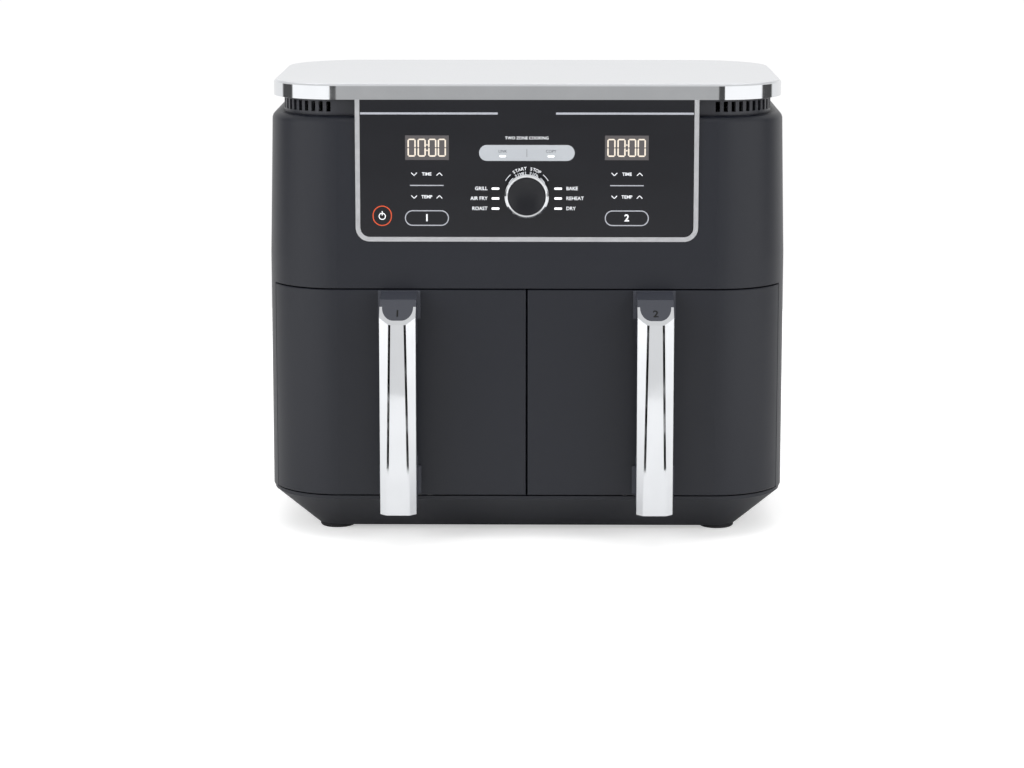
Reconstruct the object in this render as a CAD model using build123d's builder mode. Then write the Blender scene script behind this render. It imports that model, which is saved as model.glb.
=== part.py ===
from build123d import *

import os

# Twin-drawer air fryer, in millimetres. +Z is up, the front faces -Y, and the origin is
# the centre of the footprint box, on the surface that the fryer stands on.

# Overall sizes
WIDTH = 408.0
HEIGHT = 361.0
BODY_DEPTH = 235.0
HANDLE_REACH = 38.0
FRONT_CORNER = 56.0
REAR_CORNER = 64.0
WALL = 3.0

# Heights, from the table up and from the lid down
FOOT_HEIGHT = 3.5
BASE_TOP = 35.4
LID_HEIGHT = 12.5
VENT_HEIGHT = 13.0
PANEL_HEIGHT = 110.5
BELOW_PANEL = 15.0
BELOW_CREASE = 22.0
SHOULDER_TAPER = 2.5
SHOULDER_RADIUS = 6.0

# Gaps between pieces
SEAM = 1.0
SHADOW_GAP = 0.4
SLIDING_GAP = 0.3
RUNNING_GAP = 0.05

# Base and feet
BASE_SPREAD = 35.0
BASE_LIP = 3.0
BASE_LIP_INSET = 1.2
BASE_WALL = 3.5
FOOT_RADIUS = 14.0
FOOT_PLUG = 4.0
FOOT_EDGE = 1.5
FOOT_MARGIN = 2.5
REAR_FOOT_INSET = 8.0
RIB_THICK = 4.0
RIB_OFFSET = 42.0
POST_SIZE = 14.0
POST_X = 120.0
POST_RISE = 26.0
FLOOR_SLOT = 60.0
FLOOR_SLOT_PITCH = 9.0
FLOOR_SLOTS = 5

# Lid and vent
LID_INSET = 4.0
LID_FRONT_CORNER = 53.0
LID_REAR_CORNER = 62.0
TRIM_WALL = 3.0
TRIM_BEVEL = 1.0
PLATE_MARGIN = 1.6
PLATE_THICK = 3.4
DECK_FLANGE = 32.0
VENT_INSET = 9.5
VENT_WALL = 4.0
VENT_SLOT = 3.4
VENT_SLOT_PITCH = 6.2
VENT_SLOT_HEIGHT = 8.0
VENT_CORNER_SLOTS = 11

# Control panel
PANEL_MARGIN = 15.0
PANEL_CORNER = 11.0
BEZEL = 3.6
BEZEL_PROUD = 0.6
BEZEL_DEPTH = 8.0
FASCIA_THICK = 3.0
DISPLAY_WIDTH = 34.0
DISPLAY_HEIGHT = 19.2
DISPLAY_X = 77.3
DISPLAY_DROP = 37.2
DISPLAY_DEPTH = 8.0
DISPLAY_SINK = 0.2
BOARD_THICK = 1.6
BOARD_MARGIN = 20.0
BOARD_GAP = 11.0
STANDOFF = 4.0

# Start dial
DIAL_DROP = 72.8
DIAL_RADIUS = 17.6
DIAL_TAPER = 0.6
DIAL_REACH = 19.0
DIAL_LIP = 2.2
DIAL_BASE = 3.5
DIAL_LIFT = 0.6
SHAFT_RADIUS = 3.0
CAP_DEPTH = 7.0
CAP_SINK = 1.0
CAP_DISH = 1.6
CAP_RIM = 0.8
ENCODER_SIZE = 14.0
ENCODER_DEPTH = 7.0
ENCODER_BUSH = 4.6

# Doors and drawers
DOOR_WRAP = 32.0
DOOR_WALL = 3.0
DOOR_EDGE = 1.2
LINER_THICK = 3.0
FRAME_THICK = 3.0
FRAME_HEAD = 12.0
DIVIDER = 6.0
CAVITY_SIDE_GAP = 5.0
SHEET = 1.0
CAVITY_FLOOR_GAP = 5.0
CAVITY_RISE = 32.0
SERVICE_SPACE = 43.0
BASKET_SIDE_GAP = 6.0
BASKET_FRONT_GAP = 4.0
BASKET_CORNER = 32.0
BASKET_WALL = 1.5
BASKET_BOTTOM_EDGE = 3.0
BASKET_LIFT = 4.0
BASKET_BELOW_DOOR = 40.0
RIM_WIDTH = 4.0
RIM_THICK = 2.0
RUNNER_WIDTH = 5.0
RUNNER_THICK = 2.2

# Crisper plates
PLATE_GAP = 3.5
CRISPER_THICK = 1.6
CRISPER_STANDOFF = 9.0
SKIRT_DROP = 5.0
RIM_STEP = 2.4
RIM_BAND = 7.0
COLLAR_OUTER = 37.0
COLLAR_INNER = 27.0
COLLAR_RISE = 6.0
CORE_HOLE = 8.0
CORE_DISC = 19.0
DIAGONAL_RIB = 3.2
RIB_CENTRE_SHARE = 0.33
RIB_LENGTH_SHARE = 0.56
RIB_RISE = 1.4
SLOT_LENGTH = 13.0
SLOT_WIDTH = 3.2
SLOT_ROW = 6.4
SLOT_COLUMN = 17.0
SLOT_ROWS = 5
SIDE_SLOT_PITCH = 10.2
FIRST_SIDE_SLOTS = 4
BUMPER_REACH = 2.0
BUMPER_WIDTH = 44.0

# Handles
HANDLE_WIDTH = 28.0
HANDLE_SKIN = 2.0
HANDLE_BAR = 19.0
HANDLE_FRONT_SKIN = 3.0
HANDLE_LOWER_END = 28.5
HANDLE_TOP_GAP = 1.5
LEDGE_DROP = 4.0
LEDGE_LENGTH = 20.5
CAP_SLOPE = 0.97
TRIM_DEPTH = 12.5
FACET_TOP = 13.0
FACET_BOTTOM = 18.5
FACET_DEPTH = 5.0
EDGE_STRIP = 1.8
EDGE_STRIP_SINK = 0.14
GRIP_ROUND = 9.0
GRIP_TOP_BLOCK = 34.0
GRIP_BOTTOM_BLOCK = 24.0
FINGER_ROUND = 8.0
PAD_EXTRA = 2.5
PAD_THICK = 2.0
PAD_HEIGHT = 22.0
SCREW_RADIUS = 2.0
SCREW_HEAD = 4.0
SCREW_HEAD_THICK = 1.8
SCREW_LENGTH = 16.0
SCREW_INSET = 10.0

# Heating and air
FAN_RADIUS = 50.0
FAN_HEIGHT = 11.0
FAN_BLADES = 9
FAN_HUB = 8.0
FAN_DISC = 1.5
BLADE_THICK = 1.6
COOLER_RADIUS = 36.0
COOLER_HEIGHT = 9.0
MOTOR_RADIUS = 28.0
MOTOR_HEIGHT = 40.0
BRACKET_RISE = 10.0
BRACKET_THICK = 3.0
BRACKET_RADIUS = 34.0
BRACKET_LEG = 3.0
BRACKET_LEGS = 3
ROOF_HOLE = 8.0
ELEMENT_ROD = 3.2
ELEMENT_DROP = 26.0
ELEMENT_GAP = 8.0
ELEMENT_EDGE = 12.0
GUARD_DROP = 34.0
GUARD_EDGE = 3.0
GUARD_THICK = 1.5
GUARD_WIRE = 2.6
GUARD_RINGS = 5
GUARD_SPOKES = 6
GUARD_POST_TURN = 30.0
GUARD_POST = 2.2
PROBE_RADIUS = 1.5
PROBE_LENGTH = 36.0
PROBE_NUT = 4.0
PROBE_HEIGHT = 26.0
SWITCH_LENGTH = 20.0
SWITCH_DEPTH = 8.0
SWITCH_HEIGHT = 10.0
SWITCH_PIN = 1.5

# Rear cover
REAR_SPLIT = 50.0
GRILLE_WIDTH = 170.0
GRILLE_HEIGHT = 62.0
GRILLE_FRAME = 6.0
GRILLE_SLOT = 4.0
GRILLE_SLOTS = 6
GRILLE_TILT = 25.0
GRILLE_RISE = 78.0
GLAND_RADIUS = 9.0
GLAND_BORE = 3.6
GLAND_LENGTH = 9.0
GLAND_FLANGE = 2.0
GLAND_X = 92.0
GLAND_RISE = 30.0
COVER_SCREW_X = 130.0
BEAM_SIZE = 12.0
BEAM_DROP = 6.0
POWER_BOARD_WIDTH = 120.0
POWER_BOARD_HEIGHT = 110.0
POWER_BOARD_RISE = 30.0
POWER_BOARD_GAP = 30.0
POWER_PART_HEIGHT = 18.0

# Derived places
BODY_FRONT = HANDLE_REACH - (BODY_DEPTH + HANDLE_REACH) / 2
BODY_REAR = BODY_FRONT + BODY_DEPTH
HANDLE_FRONT = BODY_FRONT - HANDLE_REACH
LID_BOTTOM = HEIGHT - LID_HEIGHT
HOUSING_TOP = LID_BOTTOM - VENT_HEIGHT
PANEL_BOTTOM = LID_BOTTOM - PANEL_HEIGHT
CREASE = PANEL_BOTTOM - BELOW_PANEL
DOOR_TOP = CREASE - BELOW_CREASE
PANEL_WIDTH = WIDTH - 2 * (FRONT_CORNER + PANEL_MARGIN)

DOOR_BACK = BODY_FRONT + DOOR_WRAP
FRAME_FRONT = DOOR_BACK + SEAM
FRAME_BACK = FRAME_FRONT + FRAME_THICK
COVER_SPLIT = BODY_REAR - REAR_SPLIT

CAVITY_INNER = DIVIDER / 2
CAVITY_OUTER = WIDTH / 2 - WALL - CAVITY_SIDE_GAP
CAVITY_WIDTH = CAVITY_OUTER - CAVITY_INNER
DRAWER_X = (CAVITY_INNER + CAVITY_OUTER) / 2
CAVITY_BACK = BODY_REAR - WALL - SERVICE_SPACE
BASKET_WIDTH = CAVITY_WIDTH - 2 * (SHEET + BASKET_SIDE_GAP)
BASKET_FRONT = BODY_FRONT + DOOR_WALL + BASKET_FRONT_GAP
BASKET_BACK = CAVITY_BACK - SHEET - BASKET_SIDE_GAP
BASKET_LENGTH = BASKET_BACK - BASKET_FRONT
BASKET_Y = (BASKET_FRONT + BASKET_BACK) / 2
CAVITY_BOTTOM = BASE_TOP + CAVITY_FLOOR_GAP
CAVITY_TOP = DOOR_TOP + CAVITY_RISE
BASKET_BOTTOM = CAVITY_BOTTOM + BASKET_LIFT
BASKET_TOP = DOOR_TOP - BASKET_BELOW_DOOR
FAN_Y = (FRAME_BACK + CAVITY_BACK) / 2

SIDES = (("left", -1), ("right", 1))
ROW_CENTRE = (Align.CENTER, Align.CENTER, Align.MIN)
BEHIND = (Align.CENTER, Align.MIN, Align.MIN)
IN_FRONT = (Align.CENTER, Align.MAX, Align.MIN)

os.makedirs("parts", exist_ok=True)


def rounded_plan(z, half_width, front, rear, front_radius, rear_radius):
    """A horizontal outline at height z, with its own front and rear corner radii."""
    with BuildSketch(Plane.XY.offset(z)) as outline:
        with Locations((0, (front + rear) / 2)):
            Rectangle(2 * half_width, rear - front)
        fillet(outline.vertices().group_by(Axis.Y)[0], front_radius)
        fillet(outline.vertices().group_by(Axis.Y)[-1], rear_radius)
    return outline.sketch


def body_plan(z, inset=0.0):
    """The body's outline at height z, moved inwards by inset."""
    return rounded_plan(
        z,
        WIDTH / 2 - inset,
        BODY_FRONT + inset,
        BODY_REAR - inset,
        FRONT_CORNER - inset,
        REAR_CORNER - inset,
    )


def lid_plan(z, inset=0.0):
    """The lid's outline at height z. Its front edge is flush with the control panel."""
    return rounded_plan(
        z,
        WIDTH / 2 - LID_INSET - inset,
        BODY_FRONT + inset,
        BODY_REAR - LID_INSET - inset,
        LID_FRONT_CORNER - inset,
        LID_REAR_CORNER - inset,
    )


def panel_outline(y, inset=0.0):
    """The control panel's outline in the plane at y: square on top, rounded below."""
    with BuildSketch(Plane.XZ.offset(-y)) as outline:
        with Locations((0, LID_BOTTOM)):
            Rectangle(
                PANEL_WIDTH - 2 * inset, PANEL_HEIGHT - inset, align=(Align.CENTER, Align.MAX)
            )
        fillet(outline.vertices().group_by(Axis.Y)[0], PANEL_CORNER - inset)
    return outline.sketch


# ---- Outer shell: the housing and the rear cover are the two halves of one moulded form

with BuildPart() as shell:
    extrude(body_plan(BASE_TOP), amount=CREASE - BASE_TOP)
    loft([body_plan(CREASE), body_plan(HOUSING_TOP, SHOULDER_TAPER)], ruled=True)
    fillet(shell.edges().group_by(Axis.Z)[-1], SHOULDER_RADIUS)
    extrude(body_plan(BASE_TOP, WALL), amount=CREASE - BASE_TOP, mode=Mode.SUBTRACT)
    loft(
        [body_plan(CREASE, WALL), body_plan(HOUSING_TOP - WALL, WALL + SHOULDER_TAPER)],
        ruled=True,
        mode=Mode.SUBTRACT,
    )
    extrude(body_plan(HOUSING_TOP - WALL, DECK_FLANGE), amount=WALL, mode=Mode.SUBTRACT)

beam_z = HOUSING_TOP - WALL - BEAM_DROP - BEAM_SIZE
beam_length = WIDTH - 2 * SHOULDER_TAPER - WALL
cover_inside = BODY_REAR - WALL - SHOULDER_TAPER

with BuildPart() as upper_housing:
    add(shell.part)
    split(bisect_by=Plane.XZ.offset(-COVER_SPLIT), keep=Keep.TOP)
    with Locations((0, FRAME_FRONT, BASE_TOP - SEAM)):
        Box(
            WIDTH + 2 * SEAM, DOOR_WRAP + 2 * SEAM, DOOR_TOP - BASE_TOP + SEAM,
            align=IN_FRONT, mode=Mode.SUBTRACT,
        )
    extrude(panel_outline(FRAME_FRONT), amount=DOOR_WRAP + 2 * SEAM, mode=Mode.SUBTRACT)
    with Locations((0, COVER_SPLIT, beam_z)):
        Box(beam_length, BEAM_SIZE, BEAM_SIZE, align=IN_FRONT)
    with Locations(*[(s * COVER_SCREW_X, COVER_SPLIT, beam_z) for _, s in SIDES]):
        Box(BEAM_SIZE, cover_inside - COVER_SPLIT, BEAM_SIZE, align=BEHIND)
    with Locations(Plane.XZ.offset(-cover_inside)):
        with Locations(*[(s * COVER_SCREW_X, beam_z + BEAM_SIZE / 2) for _, s in SIDES]):
            Hole(SCREW_RADIUS, SCREW_LENGTH)

with BuildPart() as shelf:
    extrude(body_plan(DOOR_TOP, WALL / 2), amount=WALL)
    split(bisect_by=Plane.XZ.offset(-FRAME_BACK), keep=Keep.TOP)
    with Locations(*[(s * DRAWER_X, BODY_FRONT + DOOR_WRAP / 2, DOOR_TOP) for _, s in SIDES]):
        Cylinder(SWITCH_PIN + SLIDING_GAP, WALL, align=ROW_CENTRE, mode=Mode.SUBTRACT)

with BuildPart() as housing:
    add(upper_housing.part)
    add(shelf.part)

housing.part.label = "upper_housing"
export_step(housing.part, "parts/upper_housing.step")

grille_bottom = DOOR_TOP + GRILLE_RISE - GRILLE_HEIGHT / 2
gland_z = BASE_TOP + GLAND_RISE
upper_screws = [
    (s * COVER_SCREW_X, beam_z + BEAM_SIZE / 2, BODY_REAR - SHOULDER_TAPER) for _, s in SIDES
]
lower_screws = [(s * POST_X, BASE_TOP + POST_RISE / 2, BODY_REAR) for _, s in SIDES]

with BuildPart() as rear_cover:
    add(shell.part)
    split(bisect_by=Plane.XZ.offset(-COVER_SPLIT - SHADOW_GAP), keep=Keep.BOTTOM)
    with Locations((0, BODY_REAR - 2 * WALL - SHOULDER_TAPER, grille_bottom)):
        Box(GRILLE_WIDTH, 3 * WALL + SHOULDER_TAPER, GRILLE_HEIGHT, align=BEHIND, mode=Mode.SUBTRACT)
    with Locations(Plane.XZ.offset(-BODY_REAR)):
        with Locations((GLAND_X, gland_z)):
            Hole(GLAND_RADIUS, 2 * WALL)
    for x, z, y in upper_screws + lower_screws:
        with Locations(Plane.XZ.offset(-y)):
            with Locations((x, z)):
                Hole(SCREW_HEAD, SCREW_HEAD_THICK)
                Hole(SCREW_RADIUS, 2 * WALL)
    board_z = CAVITY_BOTTOM + POWER_BOARD_RISE
    board_y = CAVITY_BACK + POWER_BOARD_GAP - BOARD_THICK
    with Locations((0, board_y + BOARD_THICK, board_z)):
        with GridLocations(POWER_BOARD_WIDTH - POST_SIZE, 1, 2, 1):
            Box(
                STANDOFF, BODY_REAR - WALL - board_y - BOARD_THICK, POWER_BOARD_HEIGHT,
                align=BEHIND,
            )

rear_cover.part.label = "rear_cover"
export_step(rear_cover.part, "parts/rear_cover.step")

with BuildPart() as exhaust_grille:
    grille_front = BODY_REAR - WALL - SHOULDER_TAPER
    with Locations((0, grille_front, grille_bottom)):
        Box(GRILLE_WIDTH, WALL, GRILLE_HEIGHT, align=BEHIND)
    slot_pitch = (GRILLE_HEIGHT - 2 * GRILLE_FRAME) / GRILLE_SLOTS
    for row in range(GRILLE_SLOTS):
        row_z = grille_bottom + GRILLE_FRAME + (row + 1 / 2) * slot_pitch
        with Locations((0, grille_front + WALL / 2, row_z)):
            Box(
                GRILLE_WIDTH - 2 * GRILLE_FRAME, 2 * WALL, GRILLE_SLOT,
                rotation=(GRILLE_TILT, 0, 0), mode=Mode.SUBTRACT,
            )

exhaust_grille.part.label = "exhaust_grille"
export_step(exhaust_grille.part, "parts/exhaust_grille.step")

with BuildPart() as cord_gland:
    with BuildSketch(Plane.XZ.offset(-BODY_REAR)):
        with Locations((GLAND_X, gland_z)):
            Circle(GLAND_RADIUS)
            Circle(GLAND_BORE, mode=Mode.SUBTRACT)
    extrude(amount=GLAND_LENGTH)
    with BuildSketch(Plane.XZ.offset(-BODY_REAR + WALL)):
        with Locations((GLAND_X, gland_z)):
            Circle(GLAND_RADIUS + GLAND_FLANGE)
            Circle(GLAND_RADIUS, mode=Mode.SUBTRACT)
    extrude(amount=WALL)

cord_gland.part.label = "cord_gland"
export_step(cord_gland.part, "parts/cord_gland.step")

with BuildPart() as housing_screws:
    for x, z, y in upper_screws + lower_screws:
        with BuildSketch(Plane.XZ.offset(-y)):
            with Locations((x, z)):
                Circle(SCREW_HEAD)
        extrude(amount=SCREW_HEAD_THICK)
        with BuildSketch(Plane.XZ.offset(-y + SCREW_HEAD_THICK)):
            with Locations((x, z)):
                Circle(SCREW_RADIUS)
        extrude(amount=SCREW_LENGTH - SCREW_HEAD_THICK)

housing_screws.part.label = "housing_screws"
export_step(housing_screws.part, "parts/housing_screws.step")

# ---- Lid, its bright band and the black vent ring under it

with BuildPart() as lid_trim:
    extrude(lid_plan(LID_BOTTOM), amount=LID_HEIGHT - TRIM_BEVEL)
    chamfer(lid_trim.edges().group_by(Axis.Z)[-1], TRIM_BEVEL)
    extrude(lid_plan(LID_BOTTOM, TRIM_WALL), amount=LID_HEIGHT, mode=Mode.SUBTRACT)
    extrude(
        lid_plan(HEIGHT - PLATE_THICK, PLATE_MARGIN), amount=PLATE_THICK, mode=Mode.SUBTRACT
    )

lid_trim.part.label = "lid_trim"
export_step(lid_trim.part, "parts/lid_trim.step")

with BuildPart() as lid_plate:
    extrude(lid_plan(HEIGHT - PLATE_THICK, PLATE_MARGIN), amount=PLATE_THICK)
    chamfer(lid_plate.edges().group_by(Axis.Z)[-1], TRIM_BEVEL / 2)

lid_plate.part.label = "lid_plate"
export_step(lid_plate.part, "parts/lid_plate.step")

vent_offset = VENT_INSET + SHOULDER_TAPER
slot_z = HOUSING_TOP + VENT_HEIGHT / 2
with BuildPart() as vent_ring:
    extrude(body_plan(HOUSING_TOP, vent_offset), amount=VENT_HEIGHT)
    extrude(
        body_plan(HOUSING_TOP, vent_offset + VENT_WALL), amount=VENT_HEIGHT, mode=Mode.SUBTRACT
    )
    for _, s in SIDES:
        corner = Plane((s * (WIDTH / 2 - FRONT_CORNER), BODY_FRONT + FRONT_CORNER, slot_z))
        slot_radius = FRONT_CORNER - vent_offset - VENT_WALL / 2
        with Locations(corner):
            with PolarLocations(
                slot_radius, VENT_CORNER_SLOTS, start_angle=-90 if s > 0 else 180, angular_range=90
            ):
                Box(3 * VENT_WALL, VENT_SLOT, VENT_SLOT_HEIGHT, mode=Mode.SUBTRACT)
        side_x = s * (WIDTH / 2 - vent_offset)
        side_length = BODY_DEPTH - FRONT_CORNER - REAR_CORNER
        with Locations((side_x, BODY_FRONT + FRONT_CORNER + side_length / 2, slot_z)):
            with GridLocations(1, VENT_SLOT_PITCH, 1, int(side_length / VENT_SLOT_PITCH) - 1):
                Box(3 * VENT_WALL, VENT_SLOT, VENT_SLOT_HEIGHT, mode=Mode.SUBTRACT)

vent_ring.part.label = "vent_ring"
export_step(vent_ring.part, "parts/vent_ring.step")

# ---- Base pan on four rubber feet

base_lip_bottom = BASE_TOP - BASE_LIP
with BuildPart() as base_outer:
    extrude(body_plan(base_lip_bottom, BASE_LIP_INSET), amount=BASE_LIP - SHADOW_GAP)
    loft(
        [body_plan(FOOT_HEIGHT, BASE_SPREAD), body_plan(base_lip_bottom, BASE_LIP_INSET)],
        ruled=True,
    )

floor_top = FOOT_HEIGHT + WALL
foot_reach = BASE_SPREAD + FOOT_RADIUS + FOOT_MARGIN
front_feet = [(s * (WIDTH / 2 - foot_reach), BODY_FRONT + foot_reach) for _, s in SIDES]
rear_reach = foot_reach + REAR_FOOT_INSET
rear_feet = [(s * (WIDTH / 2 - rear_reach), BODY_REAR - rear_reach) for _, s in SIDES]
feet = front_feet + rear_feet
cavity_length = CAVITY_BACK - FRAME_BACK
cavity_y = (CAVITY_BACK + FRAME_BACK) / 2

with BuildPart() as base_posts:
    with Locations(*[(s * POST_X, BODY_REAR - WALL, floor_top) for _, s in SIDES]):
        Box(POST_SIZE, POST_SIZE, BASE_TOP - SHADOW_GAP - floor_top, align=IN_FRONT)
    add(base_outer.part, mode=Mode.INTERSECT)

with BuildPart() as base_pan:
    add(base_outer.part)
    loft(
        [
            body_plan(floor_top, BASE_SPREAD + BASE_WALL),
            body_plan(base_lip_bottom, BASE_LIP_INSET + BASE_WALL),
        ],
        ruled=True,
        mode=Mode.SUBTRACT,
    )
    extrude(
        body_plan(base_lip_bottom, BASE_LIP_INSET + BASE_WALL), amount=BASE_LIP, mode=Mode.SUBTRACT
    )
    add(base_posts.part)
    post_places = [(s * POST_X, BODY_REAR - WALL, BASE_TOP - SHADOW_GAP) for _, s in SIDES]
    with Locations(*post_places):
        Box(POST_SIZE, POST_SIZE, POST_RISE, align=IN_FRONT)
    with Locations(*[(s * DRAWER_X, cavity_y, floor_top) for _, s in SIDES]):
        with GridLocations(2 * RIB_OFFSET, 1, 2, 1):
            Box(RIB_THICK, cavity_length / 2, CAVITY_BOTTOM - floor_top, align=ROW_CENTRE)
    with Locations(*[(x, y, FOOT_HEIGHT) for x, y in feet]):
        Cylinder(FOOT_PLUG, WALL, align=ROW_CENTRE, mode=Mode.SUBTRACT)
    with Locations(*[(s * DRAWER_X, cavity_y, FOOT_HEIGHT) for _, s in SIDES]):
        with GridLocations(FLOOR_SLOT_PITCH, 1, FLOOR_SLOTS, 1):
            Box(FLOOR_SLOT_PITCH / 2, FLOOR_SLOT, WALL, align=ROW_CENTRE, mode=Mode.SUBTRACT)
    with Locations(Plane.XZ.offset(-(BODY_REAR - WALL))):
        with Locations(*[(x, z) for x, z, _ in lower_screws]):
            Hole(SCREW_RADIUS, SCREW_LENGTH)

base_pan.part.label = "base_pan"
export_step(base_pan.part, "parts/base_pan.step")

with BuildPart() as rubber_feet:
    with Locations(*[(x, y, 0) for x, y in feet]):
        Cylinder(FOOT_RADIUS, FOOT_HEIGHT, align=ROW_CENTRE)
    fillet(rubber_feet.edges().group_by(Axis.Z)[0], FOOT_EDGE)
    with Locations(*[(x, y, FOOT_HEIGHT) for x, y in feet]):
        Cylinder(FOOT_PLUG, WALL, align=ROW_CENTRE)

rubber_feet.part.label = "rubber_feet"
export_step(rubber_feet.part, "parts/rubber_feet.step")

# ---- Front frame, oven cavities and the wall between them

opening_top = DOOR_TOP - FRAME_HEAD
opening_bottom = CAVITY_BOTTOM + SHEET
opening_width = CAVITY_WIDTH - 2 * SHEET
with BuildPart() as front_frame:
    extrude(body_plan(BASE_TOP, WALL), amount=DOOR_TOP - BASE_TOP)
    split(bisect_by=Plane.XZ.offset(-FRAME_FRONT), keep=Keep.BOTTOM)
    split(bisect_by=Plane.XZ.offset(-FRAME_BACK), keep=Keep.TOP)
    with Locations(*[(s * DRAWER_X, FRAME_FRONT, opening_bottom) for _, s in SIDES]):
        Box(
            opening_width, FRAME_THICK, opening_top - opening_bottom,
            align=BEHIND, mode=Mode.SUBTRACT,
        )

front_frame.part.label = "front_frame"
export_step(front_frame.part, "parts/front_frame.step")

with BuildPart() as centre_divider:
    with Locations((0, FRAME_BACK, CAVITY_BOTTOM)):
        Box(DIVIDER, cavity_length, CAVITY_TOP - CAVITY_BOTTOM, align=BEHIND)
    with Locations((0, cavity_y, floor_top)):
        Box(DIVIDER, cavity_length / 2, CAVITY_BOTTOM - floor_top, align=ROW_CENTRE)

centre_divider.part.label = "centre_divider"
export_step(centre_divider.part, "parts/centre_divider.step")

probe_z = BASKET_TOP + PROBE_HEIGHT
element_z = CAVITY_TOP - ELEMENT_DROP
guard_radius = min(CAVITY_WIDTH, cavity_length) / 2 - SHEET - GUARD_EDGE
element_radius = guard_radius - ELEMENT_EDGE
terminals = [(k * ELEMENT_GAP, FAN_Y + element_radius) for k in (-1, 1)]
guard_z = CAVITY_TOP - GUARD_DROP
post_circle = guard_radius - GUARD_POST - GUARD_WIRE / 4
for side, s in SIDES:
    with BuildPart() as cavity:
        with Locations((s * DRAWER_X, cavity_y, CAVITY_BOTTOM)):
            Box(CAVITY_WIDTH, cavity_length, CAVITY_TOP - CAVITY_BOTTOM, align=ROW_CENTRE)
        with Locations((s * DRAWER_X, cavity_y, CAVITY_BOTTOM + SHEET)):
            Box(
                CAVITY_WIDTH - 2 * SHEET,
                cavity_length - 2 * SHEET,
                CAVITY_TOP - CAVITY_BOTTOM - 2 * SHEET,
                align=ROW_CENTRE, mode=Mode.SUBTRACT,
            )
        with Locations((s * DRAWER_X, FRAME_BACK, opening_bottom)):
            Box(
                opening_width, SHEET, opening_top - opening_bottom,
                align=BEHIND, mode=Mode.SUBTRACT,
            )
        with Locations((s * DRAWER_X, FAN_Y, CAVITY_TOP - SHEET)):
            Cylinder(ROOF_HOLE, SHEET, align=ROW_CENTRE, mode=Mode.SUBTRACT)
        with Locations(*[(s * DRAWER_X + x, y, CAVITY_TOP - SHEET) for x, y in terminals]):
            Cylinder(ELEMENT_ROD, SHEET, align=ROW_CENTRE, mode=Mode.SUBTRACT)
        with Locations(Plane.XZ.offset(-CAVITY_BACK)):
            with Locations((s * DRAWER_X, probe_z)):
                Hole(PROBE_RADIUS, 2 * SHEET)
    cavity.part.label = f"cavity_{side}"
    export_step(cavity.part, f"parts/cavity_{side}.step")

    with BuildPart() as element:
        with Locations((s * DRAWER_X, FAN_Y, element_z)):
            Torus(element_radius, ELEMENT_ROD)
        with Locations(*[(s * DRAWER_X + x, y, element_z) for x, y in terminals]):
            Cylinder(ELEMENT_ROD, ELEMENT_DROP + ELEMENT_GAP, align=ROW_CENTRE)
    element.part.label = f"element_{side}"
    export_step(element.part, f"parts/element_{side}.step")

    with BuildPart() as guard:
        with BuildSketch(Plane.XY.offset(guard_z)):
            with Locations((s * DRAWER_X, FAN_Y)):
                for ring in range(GUARD_RINGS, 0, -1):
                    radius = guard_radius * ring / GUARD_RINGS
                    Circle(radius)
                    Circle(radius - GUARD_WIRE, mode=Mode.SUBTRACT)
                    with PolarLocations(radius / 2, GUARD_SPOKES):
                        Rectangle(radius - GUARD_WIRE, GUARD_WIRE)
        extrude(amount=GUARD_THICK)
        with Locations((s * DRAWER_X, FAN_Y, guard_z + GUARD_THICK)):
            with PolarLocations(post_circle, GUARD_SPOKES, start_angle=GUARD_POST_TURN):
                Cylinder(GUARD_POST, GUARD_DROP - GUARD_THICK - SHEET, align=ROW_CENTRE)
    guard.part.label = f"element_guard_{side}"
    export_step(guard.part, f"parts/element_guard_{side}.step")

    with BuildPart() as bracket:
        with Locations((s * DRAWER_X, FAN_Y, CAVITY_TOP + BRACKET_RISE - BRACKET_THICK)):
            Cylinder(BRACKET_RADIUS, BRACKET_THICK, align=ROW_CENTRE)
            Cylinder(ROOF_HOLE, BRACKET_THICK, align=ROW_CENTRE, mode=Mode.SUBTRACT)
        with Locations((s * DRAWER_X, FAN_Y, CAVITY_TOP)):
            with PolarLocations(BRACKET_RADIUS - 2 * BRACKET_LEG, BRACKET_LEGS):
                Cylinder(BRACKET_LEG, BRACKET_RISE - BRACKET_THICK, align=ROW_CENTRE)
    bracket.part.label = f"motor_bracket_{side}"
    export_step(bracket.part, f"parts/motor_bracket_{side}.step")

    motor_z = CAVITY_TOP + BRACKET_RISE
    with BuildPart() as motor:
        with Locations((s * DRAWER_X, FAN_Y, motor_z)):
            Cylinder(MOTOR_RADIUS, MOTOR_HEIGHT, align=ROW_CENTRE)
        chamfer(motor.edges().filter_by(GeomType.CIRCLE), BRACKET_THICK)
        with Locations((s * DRAWER_X, FAN_Y, motor_z)):
            Cylinder(SHAFT_RADIUS + RUNNING_GAP, MOTOR_HEIGHT, align=ROW_CENTRE, mode=Mode.SUBTRACT)
    motor.part.label = f"motor_{side}"
    export_step(motor.part, f"parts/motor_{side}.step")

    fan_z = CAVITY_TOP - SHEET - FAN_HEIGHT - ELEMENT_ROD
    cooler_z = motor_z + MOTOR_HEIGHT + BRACKET_THICK
    with BuildPart() as motor_shaft:
        with Locations((s * DRAWER_X, FAN_Y, fan_z)):
            Cylinder(SHAFT_RADIUS, cooler_z + COOLER_HEIGHT - fan_z, align=ROW_CENTRE)
    motor_shaft.part.label = f"motor_shaft_{side}"
    export_step(motor_shaft.part, f"parts/motor_shaft_{side}.step")

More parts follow.
